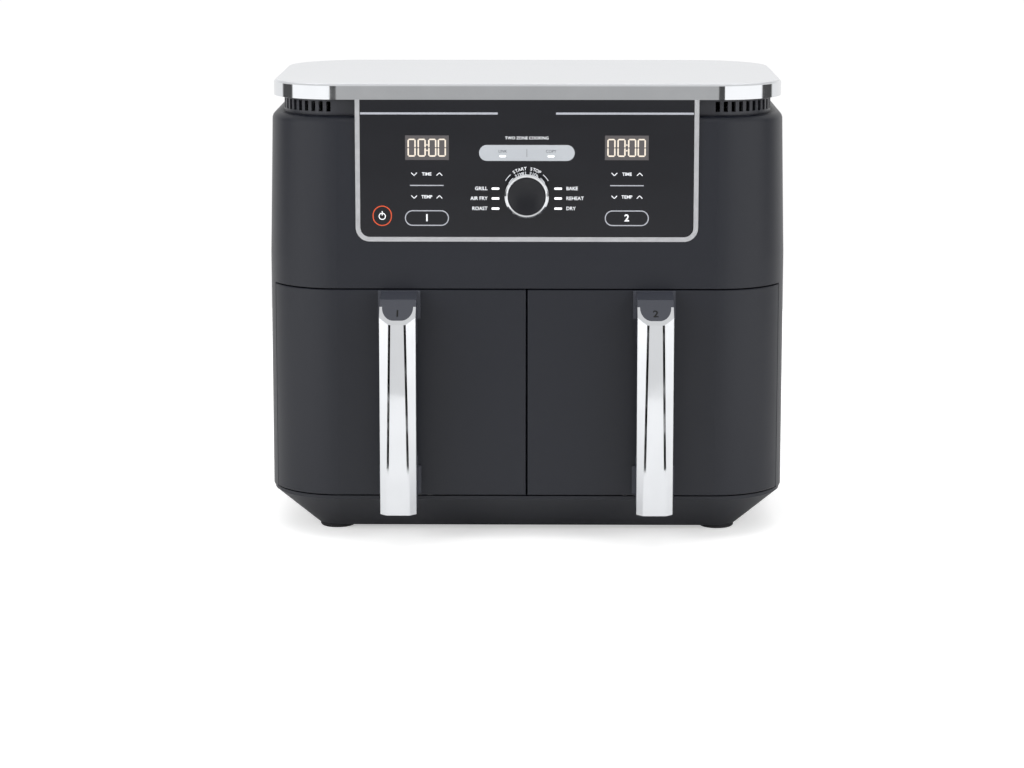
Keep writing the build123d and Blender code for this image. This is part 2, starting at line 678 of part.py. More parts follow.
    for name, z, radius, height in (
        ("fan_wheel", fan_z, FAN_RADIUS, FAN_HEIGHT),
        ("cooling_fan", cooler_z, COOLER_RADIUS, COOLER_HEIGHT),
    ):
        with BuildPart() as wheel:
            with Locations((s * DRAWER_X, FAN_Y, z)):
                Cylinder(radius, FAN_DISC, align=ROW_CENTRE)
                Cylinder(FAN_HUB, height, align=ROW_CENTRE)
                with PolarLocations((radius + FAN_HUB) / 2 - BLADE_THICK, FAN_BLADES):
                    Box(radius - FAN_HUB, BLADE_THICK, height, align=ROW_CENTRE)
                Cylinder(SHAFT_RADIUS, height, align=ROW_CENTRE, mode=Mode.SUBTRACT)
        wheel.part.label = f"{name}_{side}"
        export_step(wheel.part, f"parts/{name}_{side}.step")

    with BuildPart() as probe:
        with BuildSketch(Plane.XZ.offset(-CAVITY_BACK - PROBE_NUT)):
            with Locations((s * DRAWER_X, probe_z)):
                Circle(PROBE_RADIUS)
        extrude(amount=PROBE_LENGTH)
        with BuildSketch(Plane.XZ.offset(-CAVITY_BACK - PROBE_NUT)):
            with Locations((s * DRAWER_X, probe_z)):
                RegularPolygon(PROBE_NUT, 6)
        extrude(amount=PROBE_NUT)
    probe.part.label = f"temperature_probe_{side}"
    export_step(probe.part, f"parts/temperature_probe_{side}.step")

    switch_y = BODY_FRONT + DOOR_WRAP / 2
    with BuildPart() as switch:
        with Locations((s * DRAWER_X, switch_y, DOOR_TOP + WALL)):
            Box(SWITCH_LENGTH, SWITCH_DEPTH, SWITCH_HEIGHT, align=ROW_CENTRE)
        with Locations((s * DRAWER_X, switch_y, DOOR_TOP - SEAM / 2)):
            Cylinder(SWITCH_PIN, WALL + SEAM / 2, align=ROW_CENTRE)
    switch.part.label = f"interlock_switch_{side}"
    export_step(switch.part, f"parts/interlock_switch_{side}.step")

runner_z = BASKET_TOP - RIM_THICK - SLIDING_GAP - RUNNER_THICK
runner_x = CAVITY_WIDTH / 2 - SHEET - RUNNER_WIDTH / 2
with BuildPart() as drawer_runners:
    with Locations(*[(s * DRAWER_X, cavity_y, runner_z) for _, s in SIDES]):
        with GridLocations(2 * runner_x, 1, 2, 1):
            Box(RUNNER_WIDTH, cavity_length - 2 * SHEET, RUNNER_THICK, align=ROW_CENTRE)

drawer_runners.part.label = "drawer_runners"
export_step(drawer_runners.part, "parts/drawer_runners.step")

# ---- Control panel

fascia_back = BODY_FRONT + FASCIA_THICK
dial_z = LID_BOTTOM - DIAL_DROP
display_z = LID_BOTTOM - DISPLAY_DROP
display_places = [(s * DISPLAY_X, display_z) for _, s in SIDES]
board_front = fascia_back + BOARD_GAP

with BuildPart() as panel_bezel:
    extrude(panel_outline(BODY_FRONT - BEZEL_PROUD + BEZEL_DEPTH), amount=BEZEL_DEPTH)
    extrude(
        panel_outline(BODY_FRONT - BEZEL_PROUD + BEZEL_DEPTH, BEZEL),
        amount=BEZEL_DEPTH, mode=Mode.SUBTRACT,
    )

panel_bezel.part.label = "panel_bezel"
export_step(panel_bezel.part, "parts/panel_bezel.step")

board_width = PANEL_WIDTH - 2 * BOARD_MARGIN
board_bottom = PANEL_BOTTOM + BEZEL + BELOW_PANEL / 3
board_height = HOUSING_TOP - WALL - board_bottom - SLIDING_GAP
with BuildPart() as control_fascia:
    extrude(panel_outline(fascia_back, BEZEL), amount=FASCIA_THICK)
    with BuildSketch(Plane.XZ.offset(-fascia_back)):
        with Locations(*display_places):
            Rectangle(DISPLAY_WIDTH, DISPLAY_HEIGHT)
        with Locations((0, dial_z)):
            Circle(ENCODER_BUSH)
    extrude(amount=FASCIA_THICK, mode=Mode.SUBTRACT)
    with BuildSketch(Plane.XZ.offset(-board_front)):
        with Locations((0, board_bottom + board_height / 2)):
            with GridLocations(board_width - 2 * STANDOFF, board_height - 2 * STANDOFF, 2, 2):
                Circle(STANDOFF)
    extrude(amount=BOARD_GAP)

control_fascia.part.label = "control_fascia"
export_step(control_fascia.part, "parts/control_fascia.step")

with BuildPart() as display_modules:
    with BuildSketch(Plane.XZ.offset(-(BODY_FRONT + DISPLAY_SINK + DISPLAY_DEPTH))):
        with Locations(*display_places):
            Rectangle(DISPLAY_WIDTH, DISPLAY_HEIGHT)
    extrude(amount=DISPLAY_DEPTH)

display_modules.part.label = "display_modules"
export_step(display_modules.part, "parts/display_modules.step")

with BuildPart() as control_board:
    with BuildSketch(Plane.XZ.offset(-(board_front + BOARD_THICK))):
        with Locations((0, board_bottom + board_height / 2)):
            Rectangle(board_width, board_height)
    extrude(amount=BOARD_THICK)

control_board.part.label = "control_board"
export_step(control_board.part, "parts/control_board.step")

with BuildPart() as dial_encoder:
    with BuildSketch(Plane.XZ.offset(-board_front)):
        with Locations((0, dial_z)):
            Rectangle(ENCODER_SIZE, ENCODER_SIZE)
    extrude(amount=ENCODER_DEPTH)
    with BuildSketch(Plane.XZ.offset(-(board_front - ENCODER_DEPTH))):
        with Locations((0, dial_z)):
            Circle(ENCODER_BUSH)
    extrude(amount=board_front - ENCODER_DEPTH - BODY_FRONT)
    with BuildSketch(Plane.XZ.offset(-(board_front - WALL))):
        with Locations((0, dial_z)):
            Circle(SHAFT_RADIUS + RUNNING_GAP)
    extrude(amount=BOARD_GAP + FASCIA_THICK, mode=Mode.SUBTRACT)

dial_encoder.part.label = "dial_encoder"
export_step(dial_encoder.part, "parts/dial_encoder.step")

# ---- Start dial: a bright ring that turns on the encoder, with a press cap in its middle

dial_back = BODY_FRONT - DIAL_LIFT
dial_front = BODY_FRONT - DIAL_REACH
dial_front_radius = DIAL_RADIUS - DIAL_TAPER
cap_radius = dial_front_radius - DIAL_LIP
ring_hub_front = dial_back - DIAL_BASE
cap_front = dial_front + CAP_SINK
dial_plane = Plane((0, 0, dial_z), x_dir=(1, 0, 0), z_dir=(0, 0, 1))

with BuildPart() as knob_ring:
    with BuildSketch(dial_plane):
        with BuildLine():
            Polyline(
                (SHAFT_RADIUS, dial_back),
                (DIAL_RADIUS, dial_back),
                (dial_front_radius, dial_front + DIAL_LIP / 2),
                (dial_front_radius - DIAL_LIP / 2, dial_front),
                (cap_radius, dial_front + DIAL_LIP / 4),
                (cap_radius, ring_hub_front),
                (SHAFT_RADIUS, ring_hub_front),
                close=True,
            )
        make_face()
    revolve(axis=Axis((0, 0, dial_z), (0, 1, 0)))

knob_ring.part.label = "knob_ring"
export_step(knob_ring.part, "parts/knob_ring.step")

with BuildPart() as encoder_shaft:
    with BuildSketch(Plane.XZ.offset(-(board_front - WALL - RUNNING_GAP))):
        with Locations((0, dial_z)):
            Circle(SHAFT_RADIUS)
    extrude(amount=board_front - WALL - RUNNING_GAP - ring_hub_front)

encoder_shaft.part.label = "encoder_shaft"
export_step(encoder_shaft.part, "parts/encoder_shaft.step")

dish_edge = cap_radius - SLIDING_GAP - CAP_RIM
dish_radius = (dish_edge**2 + CAP_DISH**2) / (2 * CAP_DISH)
with BuildPart() as knob_cap:
    with BuildSketch(Plane.XZ.offset(-(cap_front + CAP_DEPTH))):
        with Locations((0, dial_z)):
            Circle(cap_radius - SLIDING_GAP)
    extrude(amount=CAP_DEPTH)
    with Locations((0, cap_front + CAP_DISH - dish_radius, dial_z)):
        Sphere(dish_radius, mode=Mode.SUBTRACT)

knob_cap.part.label = "knob_cap"
export_step(knob_cap.part, "parts/knob_cap.step")

# ---- Power board behind the cavities

with BuildPart() as power_board:
    with BuildSketch(Plane.XZ.offset(-(board_y + BOARD_THICK))):
        with Locations((0, board_z + POWER_BOARD_HEIGHT / 2)):
            Rectangle(POWER_BOARD_WIDTH, POWER_BOARD_HEIGHT)
    extrude(amount=BOARD_THICK)
    with BuildSketch(Plane.XZ.offset(-board_y)):
        with Locations((0, board_z + POWER_BOARD_HEIGHT / 2)):
            with GridLocations(POWER_BOARD_WIDTH / 3, POWER_BOARD_HEIGHT / 2, 3, 2):
                Rectangle(POWER_PART_HEIGHT, POWER_PART_HEIGHT + WALL)
    extrude(amount=POWER_PART_HEIGHT)

power_board.part.label = "power_board"
export_step(power_board.part, "parts/power_board.step")

# ---- Drawers: door, liner, basket, crisper plate and handle, left and right alike

door_bottom = BASE_TOP + SEAM / 2
door_height = DOOR_TOP - SEAM - door_bottom
crisper_width = BASKET_WIDTH - 2 * (BASKET_WALL + PLATE_GAP)
crisper_length = BASKET_LENGTH - 2 * (BASKET_WALL + PLATE_GAP)
crisper_corner = BASKET_CORNER - BASKET_WALL - PLATE_GAP
basket_floor = BASKET_BOTTOM + BASKET_WALL
crisper_z = basket_floor + CRISPER_STANDOFF

handle_top = DOOR_TOP - HANDLE_TOP_GAP
grip_back = HANDLE_FRONT + HANDLE_BAR
grip_front = HANDLE_FRONT + HANDLE_FRONT_SKIN
core_half = HANDLE_WIDTH / 2 - HANDLE_SKIN
trim_back = HANDLE_FRONT + TRIM_DEPTH
ledge_front = BODY_FRONT - LEDGE_LENGTH
grip_bottom = HANDLE_LOWER_END + HANDLE_SKIN
finger_top = handle_top - GRIP_TOP_BLOCK
finger_bottom = door_bottom + GRIP_BOTTOM_BLOCK
upper_screw = handle_top - SCREW_INSET
lower_screw = door_bottom + SCREW_INSET


def tray_plan(z, centre_x, width, length, corner):
    """A rounded rectangle at height z over a drawer's basket."""
    with BuildSketch(Plane.XY.offset(z)) as outline:
        with Locations((centre_x, BASKET_Y)):
            RectangleRounded(width, length, corner)
    return outline.sketch


def crisper_plan(z, centre_x, inset=0.0):
    """The crisper plate's outline at height z, moved inwards by inset."""
    return tray_plan(
        z,
        centre_x,
        crisper_width - 2 * inset,
        crisper_length - 2 * inset,
        crisper_corner - inset,
    )


def cap_height(y):
    """Height of the handle's slanted top face at y. The dark cap and the bright trim share it."""
    return handle_top - LEDGE_DROP - (ledge_front - y) * CAP_SLOPE


for side, s in SIDES:
    side_kept = Keep.TOP if s > 0 else Keep.BOTTOM
    centre = s * DRAWER_X

    with BuildPart() as pocket:
        extrude(body_plan(door_bottom + DOOR_WALL, DOOR_WALL), amount=door_height - 2 * DOOR_WALL)
        split(bisect_by=Plane.XZ.offset(-DOOR_BACK), keep=Keep.TOP)
        split(bisect_by=Plane.YZ.offset(s * (SEAM / 2 + DOOR_WALL)), keep=side_kept)

    with BuildPart() as door:
        extrude(body_plan(door_bottom), amount=door_height)
        split(bisect_by=Plane.XZ.offset(-DOOR_BACK), keep=Keep.TOP)
        split(bisect_by=Plane.YZ.offset(s * SEAM / 2), keep=side_kept)
        fillet(door.faces().sort_by(Axis.Y)[0].edges(), DOOR_EDGE)
        add(pocket.part, mode=Mode.SUBTRACT)
        with Locations(Plane.XZ.offset(-BODY_FRONT)):
            with Locations((centre, upper_screw), (centre, lower_screw)):
                Hole(SCREW_RADIUS, DOOR_WALL)
    door.part.label = f"door_{side}"
    export_step(door.part, f"parts/door_{side}.step")

    with BuildPart() as liner:
        add(pocket.part)
        split(bisect_by=Plane.XZ.offset(-(DOOR_BACK - LINER_THICK)), keep=Keep.BOTTOM)
        with Locations((centre, DOOR_BACK, BASKET_BOTTOM)):
            Box(
                BASKET_WIDTH, LINER_THICK, BASKET_TOP - BASKET_BOTTOM,
                align=IN_FRONT, mode=Mode.SUBTRACT,
            )
    liner.part.label = f"door_liner_{side}"
    export_step(liner.part, f"parts/door_liner_{side}.step")

    with BuildPart() as inside:
        extrude(
            tray_plan(
                basket_floor,
                centre,
                BASKET_WIDTH - 2 * BASKET_WALL,
                BASKET_LENGTH - 2 * BASKET_WALL,
                BASKET_CORNER - BASKET_WALL,
            ),
            amount=BASKET_TOP - basket_floor,
        )
        fillet(inside.edges().group_by(Axis.Z)[0], BASKET_BOTTOM_EDGE - BASKET_WALL)

    with BuildPart() as basket:
        extrude(
            tray_plan(BASKET_BOTTOM, centre, BASKET_WIDTH, BASKET_LENGTH, BASKET_CORNER),
            amount=BASKET_TOP - BASKET_BOTTOM,
        )
        fillet(basket.edges().group_by(Axis.Z)[0], BASKET_BOTTOM_EDGE)
        with BuildSketch(Plane.XY.offset(BASKET_TOP - RIM_THICK)):
            with Locations((centre, BASKET_Y)):
                RectangleRounded(BASKET_WIDTH + 2 * RIM_WIDTH, BASKET_LENGTH, BASKET_CORNER)
            with Locations((centre, DOOR_BACK)):
                Rectangle(
                    BASKET_WIDTH + 2 * RIM_WIDTH, BASKET_LENGTH,
                    align=(Align.CENTER, Align.MAX), mode=Mode.SUBTRACT,
                )
        extrude(amount=RIM_THICK)
        add(inside.part, mode=Mode.SUBTRACT)
    basket.part.label = f"basket_{side}"
    export_step(basket.part, f"parts/basket_{side}.step")

    with BuildPart() as crisper:
        skirt_z = crisper_z - SKIRT_DROP
        skirt_height = SKIRT_DROP + CRISPER_THICK + RIM_STEP
        extrude(crisper_plan(skirt_z, centre), amount=skirt_height)
        extrude(
            crisper_plan(skirt_z, centre, CRISPER_THICK), amount=skirt_height, mode=Mode.SUBTRACT
        )
        extrude(crisper_plan(crisper_z + RIM_STEP, centre), amount=CRISPER_THICK)
        extrude(
            crisper_plan(crisper_z, centre, RIM_BAND - CRISPER_THICK),
            amount=RIM_STEP + CRISPER_THICK,
        )
        extrude(
            crisper_plan(crisper_z + CRISPER_THICK, centre, RIM_BAND),
            amount=RIM_STEP, mode=Mode.SUBTRACT,
        )
        with BuildSketch(Plane.XY.offset(crisper_z)):
            with Locations((centre, BASKET_Y)):
                Circle(COLLAR_OUTER)
                with PolarLocations(crisper_length * RIB_CENTRE_SHARE, 4, start_angle=45):
                    Rectangle(crisper_length * RIB_LENGTH_SHARE, DIAGONAL_RIB)
        extrude(amount=CRISPER_THICK + RIB_RISE)
        with BuildSketch(Plane.XY.offset(crisper_z)):
            with Locations((centre, BASKET_Y)):
                Circle(COLLAR_OUTER - DIAGONAL_RIB)
                Circle(COLLAR_INNER, mode=Mode.SUBTRACT)
        extrude(amount=CRISPER_THICK + COLLAR_RISE)
        with BuildSketch(Plane.XY.offset(crisper_z)):
            with Locations((centre, BASKET_Y)):
                Circle(COLLAR_INNER)
                Circle(CORE_DISC, mode=Mode.SUBTRACT)
        extrude(amount=CRISPER_THICK + COLLAR_RISE, mode=Mode.SUBTRACT)
        with BuildSketch(Plane.XY.offset(crisper_z)):
            with Locations((centre, BASKET_Y)):
                Rectangle(2 * COLLAR_INNER, DIAGONAL_RIB)
                Rectangle(DIAGONAL_RIB, 2 * COLLAR_INNER)
                Circle(CORE_HOLE, mode=Mode.SUBTRACT)
        extrude(amount=CRISPER_THICK)
        with BuildSketch(Plane.XY.offset(crisper_z)):
            with Locations((centre, BASKET_Y)):
                for row in range(SLOT_ROWS):
                    distance = COLLAR_OUTER + (row + 1 / 2) * SLOT_ROW
                    with Locations((0, distance), (0, -distance)):
                        with GridLocations(SLOT_COLUMN, 1, 2 + row // 2, 1):
                            SlotOverall(SLOT_LENGTH, SLOT_WIDTH)
                    with Locations((distance, 0), (-distance, 0)):
                        with GridLocations(1, SIDE_SLOT_PITCH, 1, FIRST_SIDE_SLOTS + row):
                            SlotOverall(SLOT_ROW, SLOT_WIDTH)
        extrude(amount=CRISPER_THICK, mode=Mode.SUBTRACT)
    crisper.part.label = f"crisper_plate_{side}"
    export_step(crisper.part, f"parts/crisper_plate_{side}.step")

    with BuildPart() as bumpers:
        bumper_height = CRISPER_STANDOFF + RIM_STEP
        extrude(crisper_plan(basket_floor, centre, -BUMPER_REACH), amount=bumper_height)
        extrude(crisper_plan(basket_floor, centre), amount=bumper_height, mode=Mode.SUBTRACT)
        with Locations((centre, BASKET_Y, basket_floor)):
            Box(
                crisper_width - BUMPER_WIDTH, 2 * crisper_length, bumper_height,
                align=ROW_CENTRE, mode=Mode.SUBTRACT,
            )
            Box(
                2 * crisper_width, crisper_length - BUMPER_WIDTH, bumper_height,
                align=ROW_CENTRE, mode=Mode.SUBTRACT,
            )
    bumpers.part.label = f"plate_bumpers_{side}"
    export_step(bumpers.part, f"parts/plate_bumpers_{side}.step")

    with BuildPart() as grip:
        for front, half in ((trim_back, HANDLE_WIDTH / 2), (grip_front, core_half)):
            with BuildSketch(Plane.YZ.offset(centre - half)):
                with BuildLine():
                    Polyline(
                        (BODY_FRONT, handle_top),
                        (ledge_front, handle_top - LEDGE_DROP),
                        (front, cap_height(front)),
                        (front, grip_bottom),
                        (grip_back, grip_bottom),
                        (BODY_FRONT, door_bottom + HANDLE_SKIN),
                        close=True,
                    )
                make_face()
            extrude(amount=2 * half)
        fillet(grip.edges().filter_by(Axis.Z).group_by(Axis.Y)[0], GRIP_ROUND)
        with BuildSketch(Plane.YZ.offset(centre - HANDLE_WIDTH)):
            with Locations(((grip_back + BODY_FRONT) / 2, (finger_top + finger_bottom) / 2)):
                RectangleRounded(BODY_FRONT - grip_back, finger_top - finger_bottom, FINGER_ROUND)
        extrude(amount=2 * HANDLE_WIDTH, mode=Mode.SUBTRACT)
        with Locations(
            (centre, BODY_FRONT, handle_top - PAD_HEIGHT),
            (centre, BODY_FRONT, door_bottom + HANDLE_SKIN),
        ):
            Box(HANDLE_WIDTH + 2 * PAD_EXTRA, PAD_THICK, PAD_HEIGHT, align=IN_FRONT)
        with Locations(Plane.XZ.offset(-BODY_FRONT)):
            with Locations((centre, upper_screw), (centre, lower_screw)):
                Hole(SCREW_RADIUS, SCREW_LENGTH - DOOR_WALL)
    grip.part.label = f"handle_grip_{side}"
    export_step(grip.part, f"parts/handle_grip_{side}.step")

    with BuildPart() as trim:
        for z, facet in ((HANDLE_LOWER_END, FACET_BOTTOM), (handle_top, FACET_TOP)):
            with BuildSketch(Plane.XY.offset(z)):
                with BuildLine():
                    half = HANDLE_WIDTH / 2
                    Polyline(
                        (centre - half, trim_back),
                        (centre - half, HANDLE_FRONT + FACET_DEPTH),
                        (centre - facet / 2, HANDLE_FRONT + EDGE_STRIP_SINK),
                        (centre - facet / 2 + EDGE_STRIP, HANDLE_FRONT),
                        (centre + facet / 2 - EDGE_STRIP, HANDLE_FRONT),
                        (centre + facet / 2, HANDLE_FRONT + EDGE_STRIP_SINK),
                        (centre + half, HANDLE_FRONT + FACET_DEPTH),
                        (centre + half, trim_back),
                        close=True,
                    )
                make_face()
        loft(ruled=True)
        with BuildSketch(Plane.YZ.offset(centre - HANDLE_WIDTH)):
            with BuildLine():
                Polyline(
                    (HANDLE_FRONT - FACET_DEPTH, cap_height(HANDLE_FRONT - FACET_DEPTH)),
                    (BODY_FRONT, cap_height(BODY_FRONT)),
                    (HANDLE_FRONT - FACET_DEPTH, cap_height(BODY_FRONT)),
                    close=True,
                )
            make_face()
        extrude(amount=2 * HANDLE_WIDTH, mode=Mode.SUBTRACT)
        add(grip.part, mode=Mode.SUBTRACT)
    trim.part.label = f"handle_trim_{side}"
    export_step(trim.part, f"parts/handle_trim_{side}.step")

    with BuildPart() as handle_screws:
        for z in (upper_screw, lower_screw):
            with BuildSketch(Plane.XZ.offset(-(BODY_FRONT + DOOR_WALL))):
                with Locations((centre, z)):
                    Circle(SCREW_RADIUS)
            extrude(amount=SCREW_LENGTH)
            with BuildSketch(Plane.XZ.offset(-(BODY_FRONT + DOOR_WALL + SCREW_HEAD_THICK))):
                with Locations((centre, z)):
                    Circle(SCREW_HEAD)
            extrude(amount=SCREW_HEAD_THICK)
    handle_screws.part.label = f"handle_screws_{side}"
    export_step(handle_screws.part, f"parts/handle_screws_{side}.step")
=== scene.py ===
from math import cos, pi, radians, sin

import bpy
from mathutils import Matrix, Vector


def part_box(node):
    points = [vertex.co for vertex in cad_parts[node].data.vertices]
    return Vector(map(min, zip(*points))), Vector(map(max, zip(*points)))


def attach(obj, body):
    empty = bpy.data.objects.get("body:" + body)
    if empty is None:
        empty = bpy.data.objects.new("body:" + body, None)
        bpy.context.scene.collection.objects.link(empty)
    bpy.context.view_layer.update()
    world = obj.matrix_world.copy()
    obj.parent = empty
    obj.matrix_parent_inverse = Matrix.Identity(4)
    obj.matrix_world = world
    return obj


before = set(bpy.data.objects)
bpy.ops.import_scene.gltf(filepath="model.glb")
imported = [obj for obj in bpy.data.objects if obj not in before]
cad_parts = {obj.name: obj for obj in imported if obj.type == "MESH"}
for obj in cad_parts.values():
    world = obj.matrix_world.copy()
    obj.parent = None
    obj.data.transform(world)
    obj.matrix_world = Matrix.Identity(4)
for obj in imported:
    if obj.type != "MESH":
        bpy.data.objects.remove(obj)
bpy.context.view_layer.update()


# Camera, floor and light ------------------------------------------------------------------
# The fryer stands on pale paper. The camera looks down on it a little from the front, with a
# tall soft box at each front corner, a wide one overhead and pale walls all round.

FRONT_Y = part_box("control_fascia")[0].y
CAMERA_PLACE = Vector((0.012, FRONT_Y - 2.2, 0.556))
CAMERA_AIM = Vector((-0.0115, FRONT_Y, 0.2065))
CAMERA_LENS = 100.5
SENSOR_WIDTH = 36
FRAME_SHIFT = -0.1

camera_data = bpy.data.cameras.new("camera")
camera_data.lens = CAMERA_LENS
camera_data.sensor_width = SENSOR_WIDTH
camera_data.shift_y = FRAME_SHIFT
camera = bpy.data.objects.new("camera", camera_data)
bpy.context.collection.objects.link(camera)
camera.location = CAMERA_PLACE
camera.rotation_euler = (CAMERA_AIM - CAMERA_PLACE).to_track_quat("-Z", "Y").to_euler()
bpy.context.scene.camera = camera
bpy.context.scene.view_settings.view_transform = "Standard"


def soft_box(name, place, aim, size, power):
    """A rectangular light at place, turned towards aim. Gloss shows the walls in its stead."""
    light = bpy.data.lights.new(name, "AREA")
    light.shape = "RECTANGLE"
    light.size, light.size_y = size
    light.energy = power
    lamp = bpy.data.objects.new(name, light)
    bpy.context.collection.objects.link(lamp)
    lamp.location = place
    lamp.rotation_euler = (Vector(aim) - Vector(place)).to_track_quat("-Z", "Y").to_euler()
    lamp.visible_glossy = False


BODY_MIDDLE = (0, 0, 0.17)
CORNER_BOX_PLACE = (1.25, -1.15, 0.75)
CORNER_BOX_SIZE = (0.8, 1.3)
LEFT_POWER = 14
RIGHT_POWER = 11
OVERHEAD_PLACE = (0, 0, 2.0)
OVERHEAD_SIZE = (2.4, 2.0)
OVERHEAD_POWER = 16

box_x, box_y, box_z = CORNER_BOX_PLACE
soft_box("front_left_box", (-box_x, box_y, box_z), BODY_MIDDLE, CORNER_BOX_SIZE, LEFT_POWER)
soft_box("front_right_box", CORNER_BOX_PLACE, BODY_MIDDLE, CORNER_BOX_SIZE, RIGHT_POWER)
soft_box("overhead_box", OVERHEAD_PLACE, (0, 0, 0), OVERHEAD_SIZE, OVERHEAD_POWER)


class Wire:
    """A node's output. Arithmetic on it adds Math nodes to the same finish."""

    def __init__(self, finish, socket):
        self.finish = finish
        self.socket = socket

    def out(self, name):
        """Another output of the same node."""
        return Wire(self.finish, self.socket.node.outputs[name])

    def math(self, operation, *values):
        """A Math node that takes this output first, then the values."""
        taken = dict(enumerate((self, *values)))
        return self.finish.node("ShaderNodeMath", {"operation": operation}, taken)

    def __add__(self, other):
        return self.math("ADD", other)

    __radd__ = __add__

    def __sub__(self, other):
        return self.math("SUBTRACT", other)

    def __rsub__(self, other):
        return self.finish.node("ShaderNodeMath", {"operation": "SUBTRACT"}, {0: other, 1: self})

    def __mul__(self, other):
        return self.math("MULTIPLY", other)

    __rmul__ = __mul__

    def between(self, low, high):
        """0 below low and 1 above high, smooth between them."""
        return self.finish.node(
            "ShaderNodeMapRange", {"interpolation_type": "SMOOTHSTEP"}, {0: self, 1: low, 2: high}
        )


class Finish:
    """The nodes of one material, or of the world, with one method that adds any of them."""

    def __init__(self, owner):
        owner.use_nodes = True
        self.owner = owner
        self.tree = owner.node_tree
        self.tree.nodes.clear()

    def node(self, kind, settings=None, values=None):
        new = self.tree.nodes.new(kind)
        for name, value in (settings or {}).items():
            setattr(new, name, value)
        for name, value in (values or {}).items():
            if isinstance(value, Wire):
                self.tree.links.new(value.socket, new.inputs[name])
            else:
                new.inputs[name].default_value = value
        return Wire(self, next((socket for socket in new.outputs if socket.enabled), None))


def grey(level):
    return (level, level, level, 1)


def noise(finish, scale, detail=2.0, stretch=(1, 1, 1)):
    """Cloudy noise of that many patches a metre, drawn out by stretch."""
    place = finish.node("ShaderNodeTexCoord").out("Object")
    place = finish.node("ShaderNodeMapping", None, {"Vector": place, "Scale": stretch})
    return finish.node(
        "ShaderNodeTexNoise", None, {"Vector": place, "Scale": scale, "Detail": detail}
    )


def colour_mix(finish, share, first, second):
    """The first colour where share is 0 and the second where it is 1."""
    return finish.node("ShaderNodeMix", {"data_type": "RGBA"}, {0: share, 6: first, 7: second})


def surfaced(finish, values):
    """Ends a material with the surface shader that takes these values."""
    skin = finish.node("ShaderNodeBsdfPrincipled", None, values)
    finish.node("ShaderNodeOutputMaterial", None, {"Surface": skin})
    return finish.owner


# Round the horizon the walls are white, with a grey front and a dark strip at each of its
# edges and at each side, which plated parts show as crisp bands. The eye sees them white.
FRONT_GREY = 0.46
DARK_STRIP = 0.08
WALL_WHITE = 1.15
BACK_WHITE = 0.9
LOW_WHITE = 0.8
OVERHEAD_WHITE = 0.75
SEEN_WHITE = 1.02
FRONT_GREY_END = (radians(9), radians(10))
FRONT_STRIP_END = (radians(15.5), radians(16.5))
WALL_WHITE_END = (radians(86), radians(90))
SIDE_STRIP_END = (radians(112), radians(118))
LOW_WHITE_END = (-0.15, -0.12)
OVERHEAD_START = (0.25, 0.5)

bpy.context.scene.world = bpy.data.worlds.new("studio")
studio = Finish(bpy.context.scene.world)
outwards = studio.node("ShaderNodeTexCoord").out("Generated")
axes = studio.node("ShaderNodeSeparateXYZ", None, {"Vector": outwards})
turn_from_front = axes.out("X").math("ABSOLUTE").math("ARCTAN2", axes.out("Y") * -1)
height = axes.out("Z")
wall = FRONT_GREY - turn_from_front.between(*FRONT_GREY_END) * (FRONT_GREY - DARK_STRIP)
wall = wall + turn_from_front.between(*FRONT_STRIP_END) * (WALL_WHITE - DARK_STRIP)
wall = wall - turn_from_front.between(*WALL_WHITE_END) * (WALL_WHITE - DARK_STRIP)
wall = wall + turn_from_front.between(*SIDE_STRIP_END) * (BACK_WHITE - DARK_STRIP)
wall = wall + (1 - height.between(*LOW_WHITE_END)) * (LOW_WHITE - wall)
wall = wall + height.between(*OVERHEAD_START) * (OVERHEAD_WHITE - wall)
wall = wall + studio.node("ShaderNodeLightPath").out("Is Camera Ray") * (SEEN_WHITE - wall)
glow = studio.node("ShaderNodeBackground", None, {"Color": grey(1), "Strength": wall})
studio.node("ShaderNodeOutputWorld", None, {"Surface": glow})

# The floor is a sheet of paper. The eye sees it brighter than gloss does, up to white.
FLOOR_WIDTH = 5.0
FLOOR_FRONT = -0.75
FLOOR_BACK = 1.0
PAPER_SHADES = (0.76, 0.8)
PAPER_GLOW = 0.45

bpy.ops.object.select_all(action="DESELECT")
bpy.ops.mesh.primitive_plane_add(size=1, location=(0, (FLOOR_FRONT + FLOOR_BACK) / 2, 0))
floor = bpy.context.object
floor.name = "floor"
floor.scale = (FLOOR_WIDTH, FLOOR_BACK - FLOOR_FRONT, 1)
bpy.ops.object.transform_apply()
paper = Finish(bpy.data.materials.new("floor_paper"))
paper_seen = paper.node("ShaderNodeLightPath").out("Is Camera Ray")
surfaced(
    paper,
    {
        "Base Color": colour_mix(paper, noise(paper, 3.0), *map(grey, PAPER_SHADES)),
        "Roughness": 0.9,
        "Emission Color": colour_mix(paper, paper_seen, grey(0), grey(PAPER_GLOW)),
        "Emission Strength": 1.0,
    },
)
floor.data.materials.append(paper.owner)

# Low black cards stand on the floor before each handle. Only reflections show them.
CARD_SIZE = (0.016, 0.16)
CARD_Y = -0.42
CARD_X = {
    "left_outer": -0.163, "left_inner": -0.065, "right_inner": 0.062, "right_outer": 0.16,
}
CARD_BLACK = 0.004

